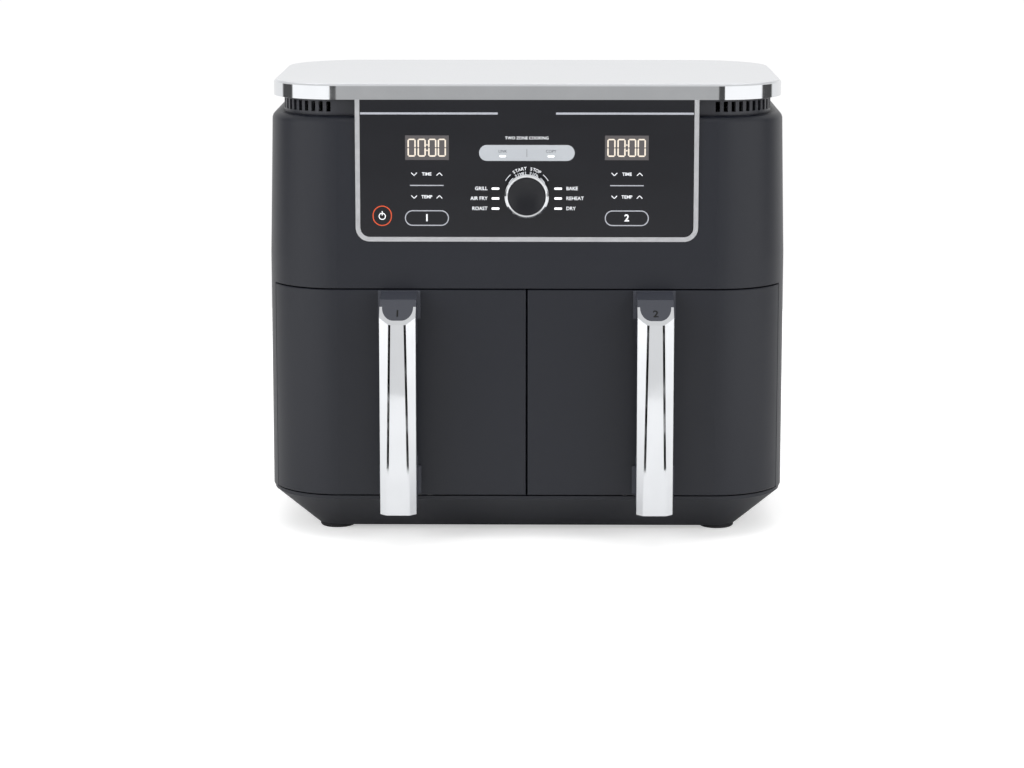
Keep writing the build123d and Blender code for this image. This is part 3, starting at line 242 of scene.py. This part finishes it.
black_felt = Finish(bpy.data.materials.new("black_felt"))
felt = black_felt.node("ShaderNodeBsdfDiffuse", None, {"Color": grey(CARD_BLACK)})
black_felt.node("ShaderNodeOutputMaterial", None, {"Surface": felt})
for name, x in CARD_X.items():
    bpy.ops.object.select_all(action="DESELECT")
    bpy.ops.mesh.primitive_plane_add(
        size=1, location=(x, CARD_Y, CARD_SIZE[1] / 2), rotation=(-pi / 2, 0, 0)
    )
    card = bpy.context.object
    card.name = f"black_card_{name}"
    card.scale = (*CARD_SIZE, 1)
    bpy.ops.object.transform_apply()
    card.visible_camera = False
    card.visible_diffuse = False
    card.visible_shadow = False
    card.data.materials.append(black_felt.owner)


# Base pan and feet ------------------------------------------------------------------------
# The base is a moulded tray of charcoal plastic with 45 degree sides, screwed to the shell
# from behind. Four rubber feet are pushed into holes in its floor.

PLASTIC_CLOUDS = 9.0
PLASTIC_SHADES = (0.94, 1.06)
CLOUD_GLOSS = 0.06
GRAIN_GLOSS = 0.08


def display_colour(red, green, blue):
    """A colour given as 0 to 255 screen values, as the linear one that a shader takes."""
    return tuple((part / 255) ** 2.2 for part in (red, green, blue)) + (1,)


def scaled(colour, factor):
    return tuple(part * factor for part in colour[:3]) + (1,)


def bumpy(finish, height, depth):
    return finish.node("ShaderNodeBump", None, {"Height": height, "Distance": depth})


def dress(material, *nodes):
    """Gives CAD nodes a material."""
    for name in nodes:
        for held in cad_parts[name].material_slots:
            held.material = material


def moulded_plastic(name, colour, roughness, grain_size=0.0005, grain_depth=0.00002):
    """Plastic from a spark-eroded mould: a fine grain, faintly uneven in shade and gloss."""
    plastic = Finish(bpy.data.materials.new(name))
    cloud = noise(plastic, PLASTIC_CLOUDS)
    grain = noise(plastic, 1 / grain_size, detail=3.0)
    dull, bright = PLASTIC_SHADES
    unevenness = (CLOUD_GLOSS + GRAIN_GLOSS) / 2
    return surfaced(
        plastic,
        {
            "Base Color": colour_mix(plastic, cloud, scaled(colour, dull), scaled(colour, bright)),
            "Roughness": cloud * CLOUD_GLOSS + grain * GRAIN_GLOSS + (roughness - unevenness),
            "Normal": bumpy(plastic, grain, grain_depth),
        },
    )


CHARCOAL = display_colour(27, 29, 36)
base_plastic = moulded_plastic("base_plastic", CHARCOAL, roughness=0.46)
rubber = moulded_plastic(
    "foot_rubber", display_colour(38, 38, 40), roughness=0.8, grain_size=0.0012, grain_depth=0.00006
)
dress(base_plastic, "base_pan")
dress(rubber, "rubber_feet")


# Front frame, divider and runners ---------------------------------------------------------
# Heat-proof black plastic: the frame round both drawer openings, the wall between the
# cavities, and the rails that the basket rims slide on. They are clipped in before the shell.

dark_plastic = moulded_plastic("dark_plastic", display_colour(40, 41, 45), roughness=0.5)
dress(dark_plastic, "front_frame", "centre_divider", "drawer_runners", "cord_gland")


# Oven cavities ----------------------------------------------------------------------------
# Each is folded from galvanised sheet and riveted, with a hole in its roof for the fan's
# shaft. The zinc shows as pale and dark crystals a few millimetres across.

ZINC = display_colour(176, 180, 184)
DARK_CRYSTAL = 0.75
CRYSTALS_A_METRE = 160.0

galvanised = Finish(bpy.data.materials.new("galvanised_sheet"))
sheet_place = galvanised.node("ShaderNodeTexCoord").out("Object")
crystals = galvanised.node(
    "ShaderNodeTexVoronoi", None, {"Vector": sheet_place, "Scale": CRYSTALS_A_METRE}
)
crystal_shades = galvanised.node(
    "ShaderNodeSeparateColor", None, {"Color": crystals.out("Color")}
).out("Red")
surfaced(
    galvanised,
    {
        "Base Color": colour_mix(galvanised, crystal_shades, scaled(ZINC, DARK_CRYSTAL), ZINC),
        "Roughness": crystal_shades * 0.15 + 0.35,
        "Metallic": 0.9,
        "Normal": bumpy(galvanised, noise(galvanised, 300.0), 0.00002),
    },
)
dress(galvanised.owner, "cavity_left", "cavity_right")


# Heating elements and guards --------------------------------------------------------------
# A ring of sheathed heating rod under each fan, straw-brown from heat, hangs from the roof
# by its terminals. A pressed steel guard with rings and spokes stands under it.

SHEATH_GREY = display_colour(96, 88, 84)
SHEATH_STRAW = display_colour(132, 108, 84)

heated_sheath = Finish(bpy.data.materials.new("heated_sheath"))
heat_cloud = noise(heated_sheath, 60.0)
surfaced(
    heated_sheath,
    {
        "Base Color": colour_mix(
            heated_sheath, heat_cloud.between(0.35, 0.65), SHEATH_GREY, SHEATH_STRAW
        ),
        "Roughness": heat_cloud * 0.3 + 0.3,
        "Metallic": 0.85,
        "Normal": bumpy(heated_sheath, noise(heated_sheath, 900.0), 0.00003),
    },
)

METAL_LINES = 700.0
METAL_CLOUDS = 25.0
METAL_SHADES = (0.86, 1.05)
METAL_GLOSS = 0.1


def bare_metal(name, colour, roughness, stretch=(1, 1, 1)):
    """Bare metal, with rolling or turning lines drawn out by stretch."""
    metal = Finish(bpy.data.materials.new(name))
    drawn = noise(metal, METAL_LINES, stretch=stretch)
    cloud = noise(metal, METAL_CLOUDS)
    dull, bright = METAL_SHADES
    return surfaced(
        metal,
        {
            "Base Color": colour_mix(metal, drawn, scaled(colour, dull), scaled(colour, bright)),
            "Roughness": drawn * METAL_GLOSS + cloud * METAL_GLOSS + (roughness - METAL_GLOSS),
            "Metallic": 1.0,
            "Normal": bumpy(metal, drawn, 0.00001),
        },
    )


steel = bare_metal("rolled_steel", display_colour(190, 190, 190), 0.32, stretch=(0.05, 1, 1))
dress(heated_sheath.owner, "element_left", "element_right")
dress(steel, "element_guard_left", "element_guard_right")


# Fan drives -------------------------------------------------------------------------------
# Over each cavity a motor in a zinc-plated can stands on a three-legged bracket. Its steel
# shaft carries a pressed fan wheel in the cavity and a cooling fan above the motor.

motor_can = bare_metal("motor_can", display_colour(168, 166, 158), 0.4, stretch=(1, 1, 0.04))
aluminium = bare_metal("fan_aluminium", display_colour(200, 202, 205), 0.38)
dress(motor_can, "motor_left", "motor_right")
dress(steel, "motor_bracket_left", "motor_bracket_right", "motor_shaft_left", "motor_shaft_right")
dress(aluminium, "fan_wheel_left", "fan_wheel_right")
dress(dark_plastic, "cooling_fan_left", "cooling_fan_right")


# Sensors and switches ---------------------------------------------------------------------
# A steel probe through each cavity's back wall reads its heat, and a switch above each
# drawer cuts the power when the drawer comes out.

dress(steel, "temperature_probe_left", "temperature_probe_right")
dress(dark_plastic, "interlock_switch_left", "interlock_switch_right")


# Circuit boards ---------------------------------------------------------------------------
# Green fibreglass boards with tinned pads in rows: one behind the control panel with the
# dial's encoder on it, and the power board on posts inside the rear cover.

PAD_PITCH = 0.00254
PAD_EDGE = (0.03, 0.06)
MASK_GREEN = display_colour(22, 74, 48)
TRACK_GREEN = display_colour(52, 118, 74)
TIN = display_colour(190, 192, 190)

board = Finish(bpy.data.materials.new("circuit_board"))
board_place = board.node("ShaderNodeTexCoord").out("Object")
pad_cells = board.node(
    "ShaderNodeMapping", None, {"Vector": board_place, "Scale": (1 / PAD_PITCH,) * 3}
)
pad_axes = board.node("ShaderNodeSeparateXYZ", None, {"Vector": pad_cells})
pad_x = pad_axes.out("X").math("PINGPONG", 0.5)
pad_z = pad_axes.out("Z").math("PINGPONG", 0.5)
pads = 1 - (pad_x * pad_x + pad_z * pad_z).between(*PAD_EDGE)
tracks = noise(board, 120.0, detail=1.0, stretch=(1, 1, 0.2)).between(0.5, 0.53) * 0.5
board_green = colour_mix(board, tracks, MASK_GREEN, TRACK_GREEN)
surfaced(
    board,
    {
        "Base Color": colour_mix(board, pads, board_green, TIN),
        "Roughness": 0.42 - pads * 0.1,
        "Metallic": pads * 0.8,
    },
)
dress(board.owner, "control_board", "power_board")
dress(steel, "dial_encoder", "encoder_shaft")


# Housing and rear cover -------------------------------------------------------------------
# The shell is two mouldings in satin charcoal plastic: the front one with the shoulders and
# the panel's frame, and the rear cover with the outlet grille, held by four screws.

housing_plastic = moulded_plastic("housing_plastic", CHARCOAL, roughness=0.4)
dress(housing_plastic, "upper_housing", "rear_cover", "exhaust_grille")
dress(steel, "housing_screws")


# Vent ring --------------------------------------------------------------------------------
# A dark slotted ring of moulded plastic stands back between the shell and the lid and lets
# warm air out all round.

vent_plastic = moulded_plastic("vent_plastic", display_colour(52, 53, 58), roughness=0.35)
dress(vent_plastic, "vent_ring")


# Lid --------------------------------------------------------------------------------------
# A flat plate in silver paint closes the top. It lies in a chrome-plated band that runs all
# round its edge and stands on the vent ring.

PAINT_SHADES = (display_colour(210, 212, 215), display_colour(236, 237, 239))
CHROME_SHADES = (display_colour(226, 228, 231), display_colour(238, 240, 243))

lid_silver = Finish(bpy.data.materials.new("silver_paint"))
flakes = noise(lid_silver, 2500.0, detail=1.0)
lid_cloud = noise(lid_silver, 6.0)
surfaced(
    lid_silver,
    {
        "Base Color": colour_mix(lid_silver, flakes, *PAINT_SHADES),
        "Roughness": flakes * 0.1 + lid_cloud * 0.06 + 0.32,
        "Metallic": 0.5,
        "Coat Weight": 0.15,
        "Coat Roughness": 0.12,
        "Normal": bumpy(lid_silver, flakes, 0.000004),
    },
)
chrome = Finish(bpy.data.materials.new("chrome_plate"))
smears = noise(chrome, 45.0, detail=3.0)
swirls = noise(chrome, 1400.0, detail=1.0, stretch=(1, 1, 0.15))
surfaced(
    chrome,
    {
        "Base Color": colour_mix(chrome, smears, *CHROME_SHADES),
        "Roughness": smears.between(0.4, 0.75) * 0.06 + swirls * 0.03 + 0.03,
        "Metallic": 1.0,
        "Normal": bumpy(chrome, noise(chrome, 35.0, detail=0.0), 0.00003),
    },
)
dress(lid_silver.owner, "lid_plate")
dress(chrome.owner, "lid_trim")


# Control panel ----------------------------------------------------------------------------
# A gloss smoked-plastic front lies in a satin silver U-shaped bezel. Its markings are printed
# on it in white and silver ink, each drawer's touch keys under that drawer's display.

PANEL_SHADES = (display_colour(16, 17, 23), display_colour(20, 21, 27))
BEZEL_SILVER = display_colour(222, 223, 226)

panel_gloss = Finish(bpy.data.materials.new("panel_gloss"))
wipes = noise(panel_gloss, 18.0, detail=3.0, stretch=(1, 1, 2.5))
surfaced(
    panel_gloss,
    {
        "Base Color": colour_mix(panel_gloss, wipes, *PANEL_SHADES),
        "Roughness": wipes * 0.1 + 0.1,
        "Coat Weight": 0.15,
        "Coat Roughness": 0.08,
    },
)
bezel_silver = bare_metal("bezel_silver", BEZEL_SILVER, 0.42, stretch=(0.3, 1, 0.3))
dress(panel_gloss.owner, "control_fascia")
dress(bezel_silver, "panel_bezel")

PANEL_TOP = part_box("panel_bezel")[1].z
INK_THICK = 0.00005
INK_Y = FRONT_Y - INK_THICK / 2
INK_DULL = 0.92
PILL_ROUND = 0.49


def flat_plate(x, drop, width, height, corner=0.0, steps=8, turn=0.0, stroke=0.0, y=INK_Y):
    """A thin plate facing the front, that far down from the panel's top. A stroke leaves
    only its rim."""
    bpy.ops.object.select_all(action="DESELECT")
    bpy.ops.mesh.primitive_plane_add(
        size=1, location=(x, y, PANEL_TOP - drop), rotation=(pi / 2, turn, 0)
    )
    plate = bpy.context.object
    plate.scale = (width, height, 1)
    bpy.ops.object.transform_apply()
    bpy.ops.object.mode_set(mode="EDIT")
    bpy.ops.mesh.select_all(action="SELECT")
    if corner:
        bpy.ops.mesh.bevel(offset=corner, segments=steps, affect="VERTICES")
    if stroke:
        bpy.ops.mesh.inset(thickness=stroke)
        bpy.ops.mesh.delete(type="FACE")
    bpy.ops.mesh.select_all(action="SELECT")
    bpy.ops.mesh.extrude_region_move(TRANSFORM_OT_translate={"value": (0, -INK_THICK, 0)})
    bpy.ops.mesh.select_all(action="SELECT")
    bpy.ops.mesh.normals_make_consistent(inside=False)
    bpy.ops.object.mode_set(mode="OBJECT")
    return plate


def plain_type(words, size, place, rotation, align="CENTER", weight=0.0):
    """Words in plain type, as a thin mesh that faces along the Z of its rotation."""
    bpy.ops.object.select_all(action="DESELECT")
    bpy.ops.object.text_add()
    text = bpy.context.object
    text.data.body = words
    text.data.size = size
    text.data.align_x = align
    text.data.align_y = "CENTER"
    text.data.extrude = INK_THICK / 2
    text.data.offset = weight
    text.data.resolution_u = 3
    bpy.ops.object.convert(target="MESH")
    printed = bpy.context.object
    printed.rotation_euler = rotation
    printed.location = place
    bpy.ops.object.transform_apply()
    return printed


def lettering(words, x, drop, size, align="CENTER", turn=0.0, weight=0.0, y=INK_Y):
    """Words on the panel, that far right of its middle line and down from its top."""
    return plain_type(words, size, (x, y, PANEL_TOP - drop), (pi / 2, turn, 0), align, weight)


def one_piece(name, parts, material, body):
    """Joins parts into the piece that has this name, finish and body."""
    bpy.ops.object.select_all(action="DESELECT")
    for part in parts:
        part.select_set(True)
    bpy.context.view_layer.objects.active = parts[0]
    if len(parts) > 1:
        bpy.ops.object.join()
    piece = bpy.context.view_layer.objects.active
    piece.name = name
    piece.data.materials.clear()
    piece.data.materials.append(material)
    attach(piece, body)
    return piece


def ink(name, colour, glow=0.0):
    """Printed ink or a lit window: a little uneven in shade, with a soft gloss. Its glow is a
    window's own light, and painted glow where it is given to printed ink.
    """
    layer = Finish(bpy.data.materials.new(name))
    fleck = noise(layer, 1800.0, detail=1.0)
    shade = colour_mix(layer, fleck, scaled(colour, INK_DULL), colour)
    values = {
        "Base Color": shade,
        "Roughness": fleck * 0.1 + 0.35,
        "Normal": bumpy(layer, fleck, 0.000002),
    }
    if glow:
        values.update({"Emission Color": shade, "Emission Strength": glow})
    return surfaced(layer, values)


# The white ink is printed, and its faint glow is painted glow.
white_ink = ink("white_ink", display_colour(226, 228, 232), glow=0.25)
silver_ink = ink("silver_ink", display_colour(168, 170, 178))
grey_ink = ink("grey_ink", display_colour(176, 180, 185))
dark_ink = ink("dark_ink", display_colour(70, 72, 78))
# The orange ring is printed ink, and its faint glow is painted glow.
orange_ink = ink("orange_ink", display_colour(200, 78, 44), glow=0.1)
lit_window = ink("lit_window", display_colour(250, 250, 252), glow=0.7)

# A silver line runs in from each side at the top. Under each display are two pairs of arrows
# with their words, a divider between them, and the drawer's number in a long rounded ring.
LINE_END = 0.129
LINE_GAP = 0.0225
LINE_DROP = 0.0106
LINE_STROKE = 0.0008
ZONE_X = 0.0776
DIVIDER_LENGTH = 0.026
DIVIDER_DROP = 0.0666
ZONE_DROP = 0.0921
ZONE_SIZE = (0.0342, 0.0122)
ZONE_NUMBER_SIZE = 0.0076
ZONE_NUMBER_WEIGHT = 0.0002
ARROW_X = 0.0098
ARROW_LEG = 0.0031
ARROW_STROKE = 0.0006
ARROW_SLOPE = pi / 4
ARROW_WORD_DROPS = {"TIME": 0.0578, "TEMP": 0.0756}
LABEL_SIZE = 0.0038
ARROW_WORD_SIZE = LABEL_SIZE * 0.92
LABEL_WEIGHT = 0.00006

line_length = LINE_END - LINE_GAP
silver_parts = []
white_parts = []
for side, number in ((-1, "1"), (1, "2")):
    line_x = side * (LINE_GAP + line_length / 2)
    zone_x = side * ZONE_X
    silver_parts += [
        flat_plate(line_x, LINE_DROP, line_length, 2 * LINE_STROKE),
        flat_plate(zone_x, DIVIDER_DROP, DIVIDER_LENGTH, LINE_STROKE),
        flat_plate(
            zone_x, ZONE_DROP, *ZONE_SIZE, corner=ZONE_SIZE[1] * PILL_ROUND, stroke=LINE_STROKE
        ),
    ]
    white_parts.append(
        lettering(number, zone_x, ZONE_DROP, ZONE_NUMBER_SIZE, weight=ZONE_NUMBER_WEIGHT)
    )
    for words, drop in ARROW_WORD_DROPS.items():
        white_parts.append(lettering(words, zone_x, drop, ARROW_WORD_SIZE, weight=LABEL_WEIGHT))
        for arrow, points_up in ((-1, -1), (1, 1)):
            for leg in (-1, 1):
                leg_x = zone_x + arrow * ARROW_X + leg * ARROW_LEG * cos(ARROW_SLOPE) / 2
                leg_turn = leg * points_up * ARROW_SLOPE
                white_parts.append(
                    flat_plate(leg_x, drop, ARROW_LEG, ARROW_STROKE, turn=leg_turn)
                )
one_piece("panel_rules", silver_parts, silver_ink, "housing")

# Three ways of cooking are named on each side of the dial, each with its lit window, and the
# dial's own words stand in an arc over it between two curved rules.
COOKING_WAYS = (
    (0.0690, "GRILL", "BAKE"),
    (0.0767, "AIR FRY", "REHEAT"),
    (0.0846, "ROAST", "DRY"),
)
WAY_X = 0.0305
WINDOW_X = 0.0243
WINDOW_SIZE = (0.0060, 0.0017)
WINDOW_CORNER = 0.0006
WINDOW_STEPS = 4
ARC_WORDS = "START STOP"
ARC_WORD_SIZE = LABEL_SIZE * 0.9
ARC_RADIUS = 0.0193
ARC_SPAN = radians(62)
RULE_MIDDLES = (radians(50), radians(-50))
RULE_STEP = radians(2.6)
RULE_BIT = (0.00105, 0.0005)
HEADING_DROP = 0.0297
HEADING_SIZE = 0.0032
HEADING_WEIGHT = 0.00003

window_parts = []
for drop, left_words, right_words in COOKING_WAYS:
    for side, words, align in ((-1, left_words, "RIGHT"), (1, right_words, "LEFT")):
        white_parts.append(
            lettering(words, side * WAY_X, drop, LABEL_SIZE, align, weight=LABEL_WEIGHT)
        )
    for side in (-1, 1):
        window_parts.append(
            flat_plate(side * WINDOW_X, drop, *WINDOW_SIZE, WINDOW_CORNER, WINDOW_STEPS)
        )

DIAL_DROP = PANEL_TOP - (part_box("knob_ring")[0].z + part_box("knob_ring")[1].z) / 2
for place, letter in enumerate(ARC_WORDS):
    lean = (place / (len(ARC_WORDS) - 1) - 0.5) * ARC_SPAN
    if letter != " ":
        letter_x = ARC_RADIUS * sin(lean)
        letter_drop = DIAL_DROP - ARC_RADIUS * cos(lean)
        white_parts.append(
            lettering(
                letter, letter_x, letter_drop, ARC_WORD_SIZE, turn=lean, weight=LABEL_WEIGHT
            )
        )
for middle in RULE_MIDDLES:
    for step in range(-3, 4):
        lean = middle + step * RULE_STEP
        bit_drop = DIAL_DROP - ARC_RADIUS * cos(lean)
        white_parts.append(flat_plate(ARC_RADIUS * sin(lean), bit_drop, *RULE_BIT, turn=lean))
white_parts.append(
    lettering("TWO ZONE COOKING", 0, HEADING_DROP, HEADING_SIZE, weight=HEADING_WEIGHT)
)
one_piece("panel_lettering", white_parts, white_ink, "housing")

# The two link keys share one pale pill, with a lit window under each word.
PILL_DROP = 0.0412
PILL_SIZE = (0.0740, 0.0124)
PILL_DIVIDER = (0.0003, 0.0062)
KEY_X = 0.0187
KEY_WORD_DROP = 0.0400
KEY_WORD_SIZE = 0.0031
KEY_WINDOW_DROP = 0.0438
KEY_WINDOW_SIZE = (0.0050, 0.0014)
KEY_WINDOW_CORNER = 0.0005
OVER_PILL = INK_Y - INK_THICK

pill = flat_plate(0, PILL_DROP, *PILL_SIZE, corner=PILL_SIZE[1] * PILL_ROUND)
one_piece("link_key_pill", [pill], grey_ink, "housing")
pill_parts = [flat_plate(0, PILL_DROP, *PILL_DIVIDER, y=OVER_PILL)]
for side, words in ((-1, "LINK"), (1, "COPY")):
    pill_parts.append(
        lettering(words, side * KEY_X, KEY_WORD_DROP, KEY_WORD_SIZE, y=OVER_PILL)
    )
    window_parts.append(
        flat_plate(
            side * KEY_X, KEY_WINDOW_DROP, *KEY_WINDOW_SIZE,
            KEY_WINDOW_CORNER, WINDOW_STEPS, y=OVER_PILL,
        )
    )
one_piece("link_key_words", pill_parts, dark_ink, "housing")
one_piece("panel_windows", window_parts, lit_window, "housing")

# The power key is an orange ring round a white sign.
POWER_X = -0.1123
POWER_DROP = 0.0904
RING_SIZE = (0.0150, 0.0159)
RING_ROUND = 0.495
RING_STEPS = 12
RING_STROKE = 0.0008
SIGN_SIZE = 0.0056
SIGN_LOWER = 0.0004
SIGN_STROKE = 0.0007
BAR_SIZE = (0.0007, 0.0034)
BAR_RISE = 0.0020

ring = flat_plate(
    POWER_X, POWER_DROP, *RING_SIZE, RING_SIZE[0] * RING_ROUND, RING_STEPS, stroke=RING_STROKE
)
one_piece("power_key_ring", [ring], orange_ink, "housing")
sign = flat_plate(
    POWER_X, POWER_DROP + SIGN_LOWER, SIGN_SIZE, SIGN_SIZE, SIGN_SIZE * RING_ROUND,
    stroke=SIGN_STROKE,
)
bar = flat_plate(POWER_X, POWER_DROP - BAR_RISE, *BAR_SIZE, y=OVER_PILL)
one_piece("power_key_sign", [sign, bar], white_ink, "housing")


# Displays ---------------------------------------------------------------------------------
# Two number displays behind smoked windows, each with four digits and a colon. A digit is
# lit segments, and the nought is modelled once and copied.

DISPLAY_X = 0.0773
DISPLAY_DROP = 0.0372
DIGIT_WIDTH = 0.0064
DIGIT_HEIGHT = 0.0140
DIGIT_PLACES = (-0.0119, -0.0041, 0.0041, 0.0115)
SEGMENT = 0.0011
SEGMENT_CORNER = SEGMENT * 0.45
COLON_CORNER = SEGMENT * 0.3
COLON_DROPS = (-0.0022, 0.0022)
DIGIT_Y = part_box("display_modules")[0].y - INK_THICK / 2

display_glass = moulded_plastic(
    "display_glass", display_colour(84, 81, 82), roughness=0.25,
    grain_size=0.0008, grain_depth=0.000003,
)
dress(display_glass, "display_modules")
digit_glow = ink("digit_glow", display_colour(214, 203, 188), glow=0.3)

rise = (DIGIT_HEIGHT - SEGMENT) / 2
reach = (DIGIT_WIDTH - SEGMENT) / 2
lying_length = 2 * reach - SEGMENT / 4
standing_length = rise - SEGMENT / 3
segments = []
for end in (-1, 1):
    lying_drop = DISPLAY_DROP + end * rise
    standing_drop = DISPLAY_DROP + end * rise / 2
    segments.append(
        flat_plate(0, lying_drop, lying_length, SEGMENT, SEGMENT_CORNER, 1, y=DIGIT_Y)
    )
    for side in (-1, 1):
        segments.append(
            flat_plate(
                side * reach, standing_drop, SEGMENT, standing_length,
                SEGMENT_CORNER, 1, y=DIGIT_Y,
            )
        )
nought = one_piece("display_digits", segments, digit_glow, "housing")
digits = []
for side in (-1, 1):
    for place in DIGIT_PLACES:
        copied = nought.copy()
        copied.data = nought.data.copy()
        copied.data.transform(Matrix.Translation((side * DISPLAY_X + place, 0, 0)))
        bpy.context.collection.objects.link(copied)
        digits.append(copied)
    for drop in COLON_DROPS:
        digits.append(
            flat_plate(
                side * DISPLAY_X, DISPLAY_DROP + drop, SEGMENT, SEGMENT,
                COLON_CORNER, 2, y=DIGIT_Y,
            )
        )
bpy.data.objects.remove(nought)
one_piece("display_digits", digits, digit_glow, "housing")


# Start dial -------------------------------------------------------------------------------
# A chrome-plated ring turns on the encoder, and the dished charcoal cap in it is pressed to
# start and stop.

knob_face = moulded_plastic("knob_face", display_colour(18, 19, 25), roughness=0.3)
dress(chrome.owner, "knob_ring")
dress(knob_face, "knob_cap")


# Baskets and door liners ------------------------------------------------------------------
# Each drawer is a pressed tray with a speckled non-stick coat, hung by its rim, behind a
# door liner of heat-proof plastic.

COAT_GREY = display_colour(52, 53, 57)
SPECK_GREY = display_colour(120, 121, 124)
SPECKS_A_METRE = 900.0
SPECK_EDGE = (0.12, 0.28)

nonstick = Finish(bpy.data.materials.new("nonstick_coat"))
coat_place = nonstick.node("ShaderNodeTexCoord").out("Object")
specks = nonstick.node(
    "ShaderNodeTexVoronoi", None, {"Vector": coat_place, "Scale": SPECKS_A_METRE}
)
speck = 1 - specks.out("Distance").between(*SPECK_EDGE)
surfaced(
    nonstick,
    {
        "Base Color": colour_mix(nonstick, speck * 0.5, COAT_GREY, SPECK_GREY),
        "Roughness": 0.42 - speck * 0.1,
        "Metallic": speck * 0.4,
        "Normal": bumpy(nonstick, noise(nonstick, 700.0), 0.00002),
    },
)
dress(nonstick.owner, "basket_left", "basket_right", "crisper_plate_left", "crisper_plate_right")
dress(dark_plastic, "door_liner_left", "door_liner_right")


# Crisper plates' bumpers ------------------------------------------------------------------
# Silicone corners are pushed on each slotted plate. They keep it off the tray, so that air
# gets under the food and the non-stick coat isn't scratched.

silicone = moulded_plastic(
    "bumper_silicone", display_colour(58, 59, 63), roughness=0.6,
    grain_size=0.001, grain_depth=0.00001,
)
dress(silicone, "plate_bumpers_left", "plate_bumpers_right")


# Doors ------------------------------------------------------------------------------------
# Each door is a satin charcoal moulding that wraps round the body's front corner. Its liner
# closes its hollow back, and both come out with the drawer.

door_plastic = moulded_plastic("door_plastic", CHARCOAL, roughness=0.42)
dress(door_plastic, "door_left", "door_right")


# Handles ----------------------------------------------------------------------------------
# A dark moulded grip stands off each door on two blocks, screwed from behind, and a faceted
# chrome-plated channel is snapped over its front. The drawer's number is on its sloping cap.

CAP_SLOPE = radians(44.13)
NUMBER_X = 0.0995
NUMBER_Y = -0.12882
NUMBER_Z = 0.18602
NUMBER_SIZE = 0.009
NUMBER_WEIGHT = 0.0002

grip_plastic = moulded_plastic("grip_plastic", display_colour(62, 64, 71), roughness=0.38)
cap_ink = ink("cap_ink", display_colour(5, 5, 6))
dress(grip_plastic, "handle_grip_left", "handle_grip_right")
dress(chrome.owner, "handle_trim_left", "handle_trim_right")
dress(steel, "handle_screws_left", "handle_screws_right")
for side, words, body in ((-1, "1", "drawer_left"), (1, "2", "drawer_right")):
    number_place = (side * NUMBER_X, NUMBER_Y, NUMBER_Z)
    number = plain_type(
        words, NUMBER_SIZE, number_place, (CAP_SLOPE, 0, 0), weight=NUMBER_WEIGHT
    )
    one_piece(f"handle_number_{words}", [number], cap_ink, body)
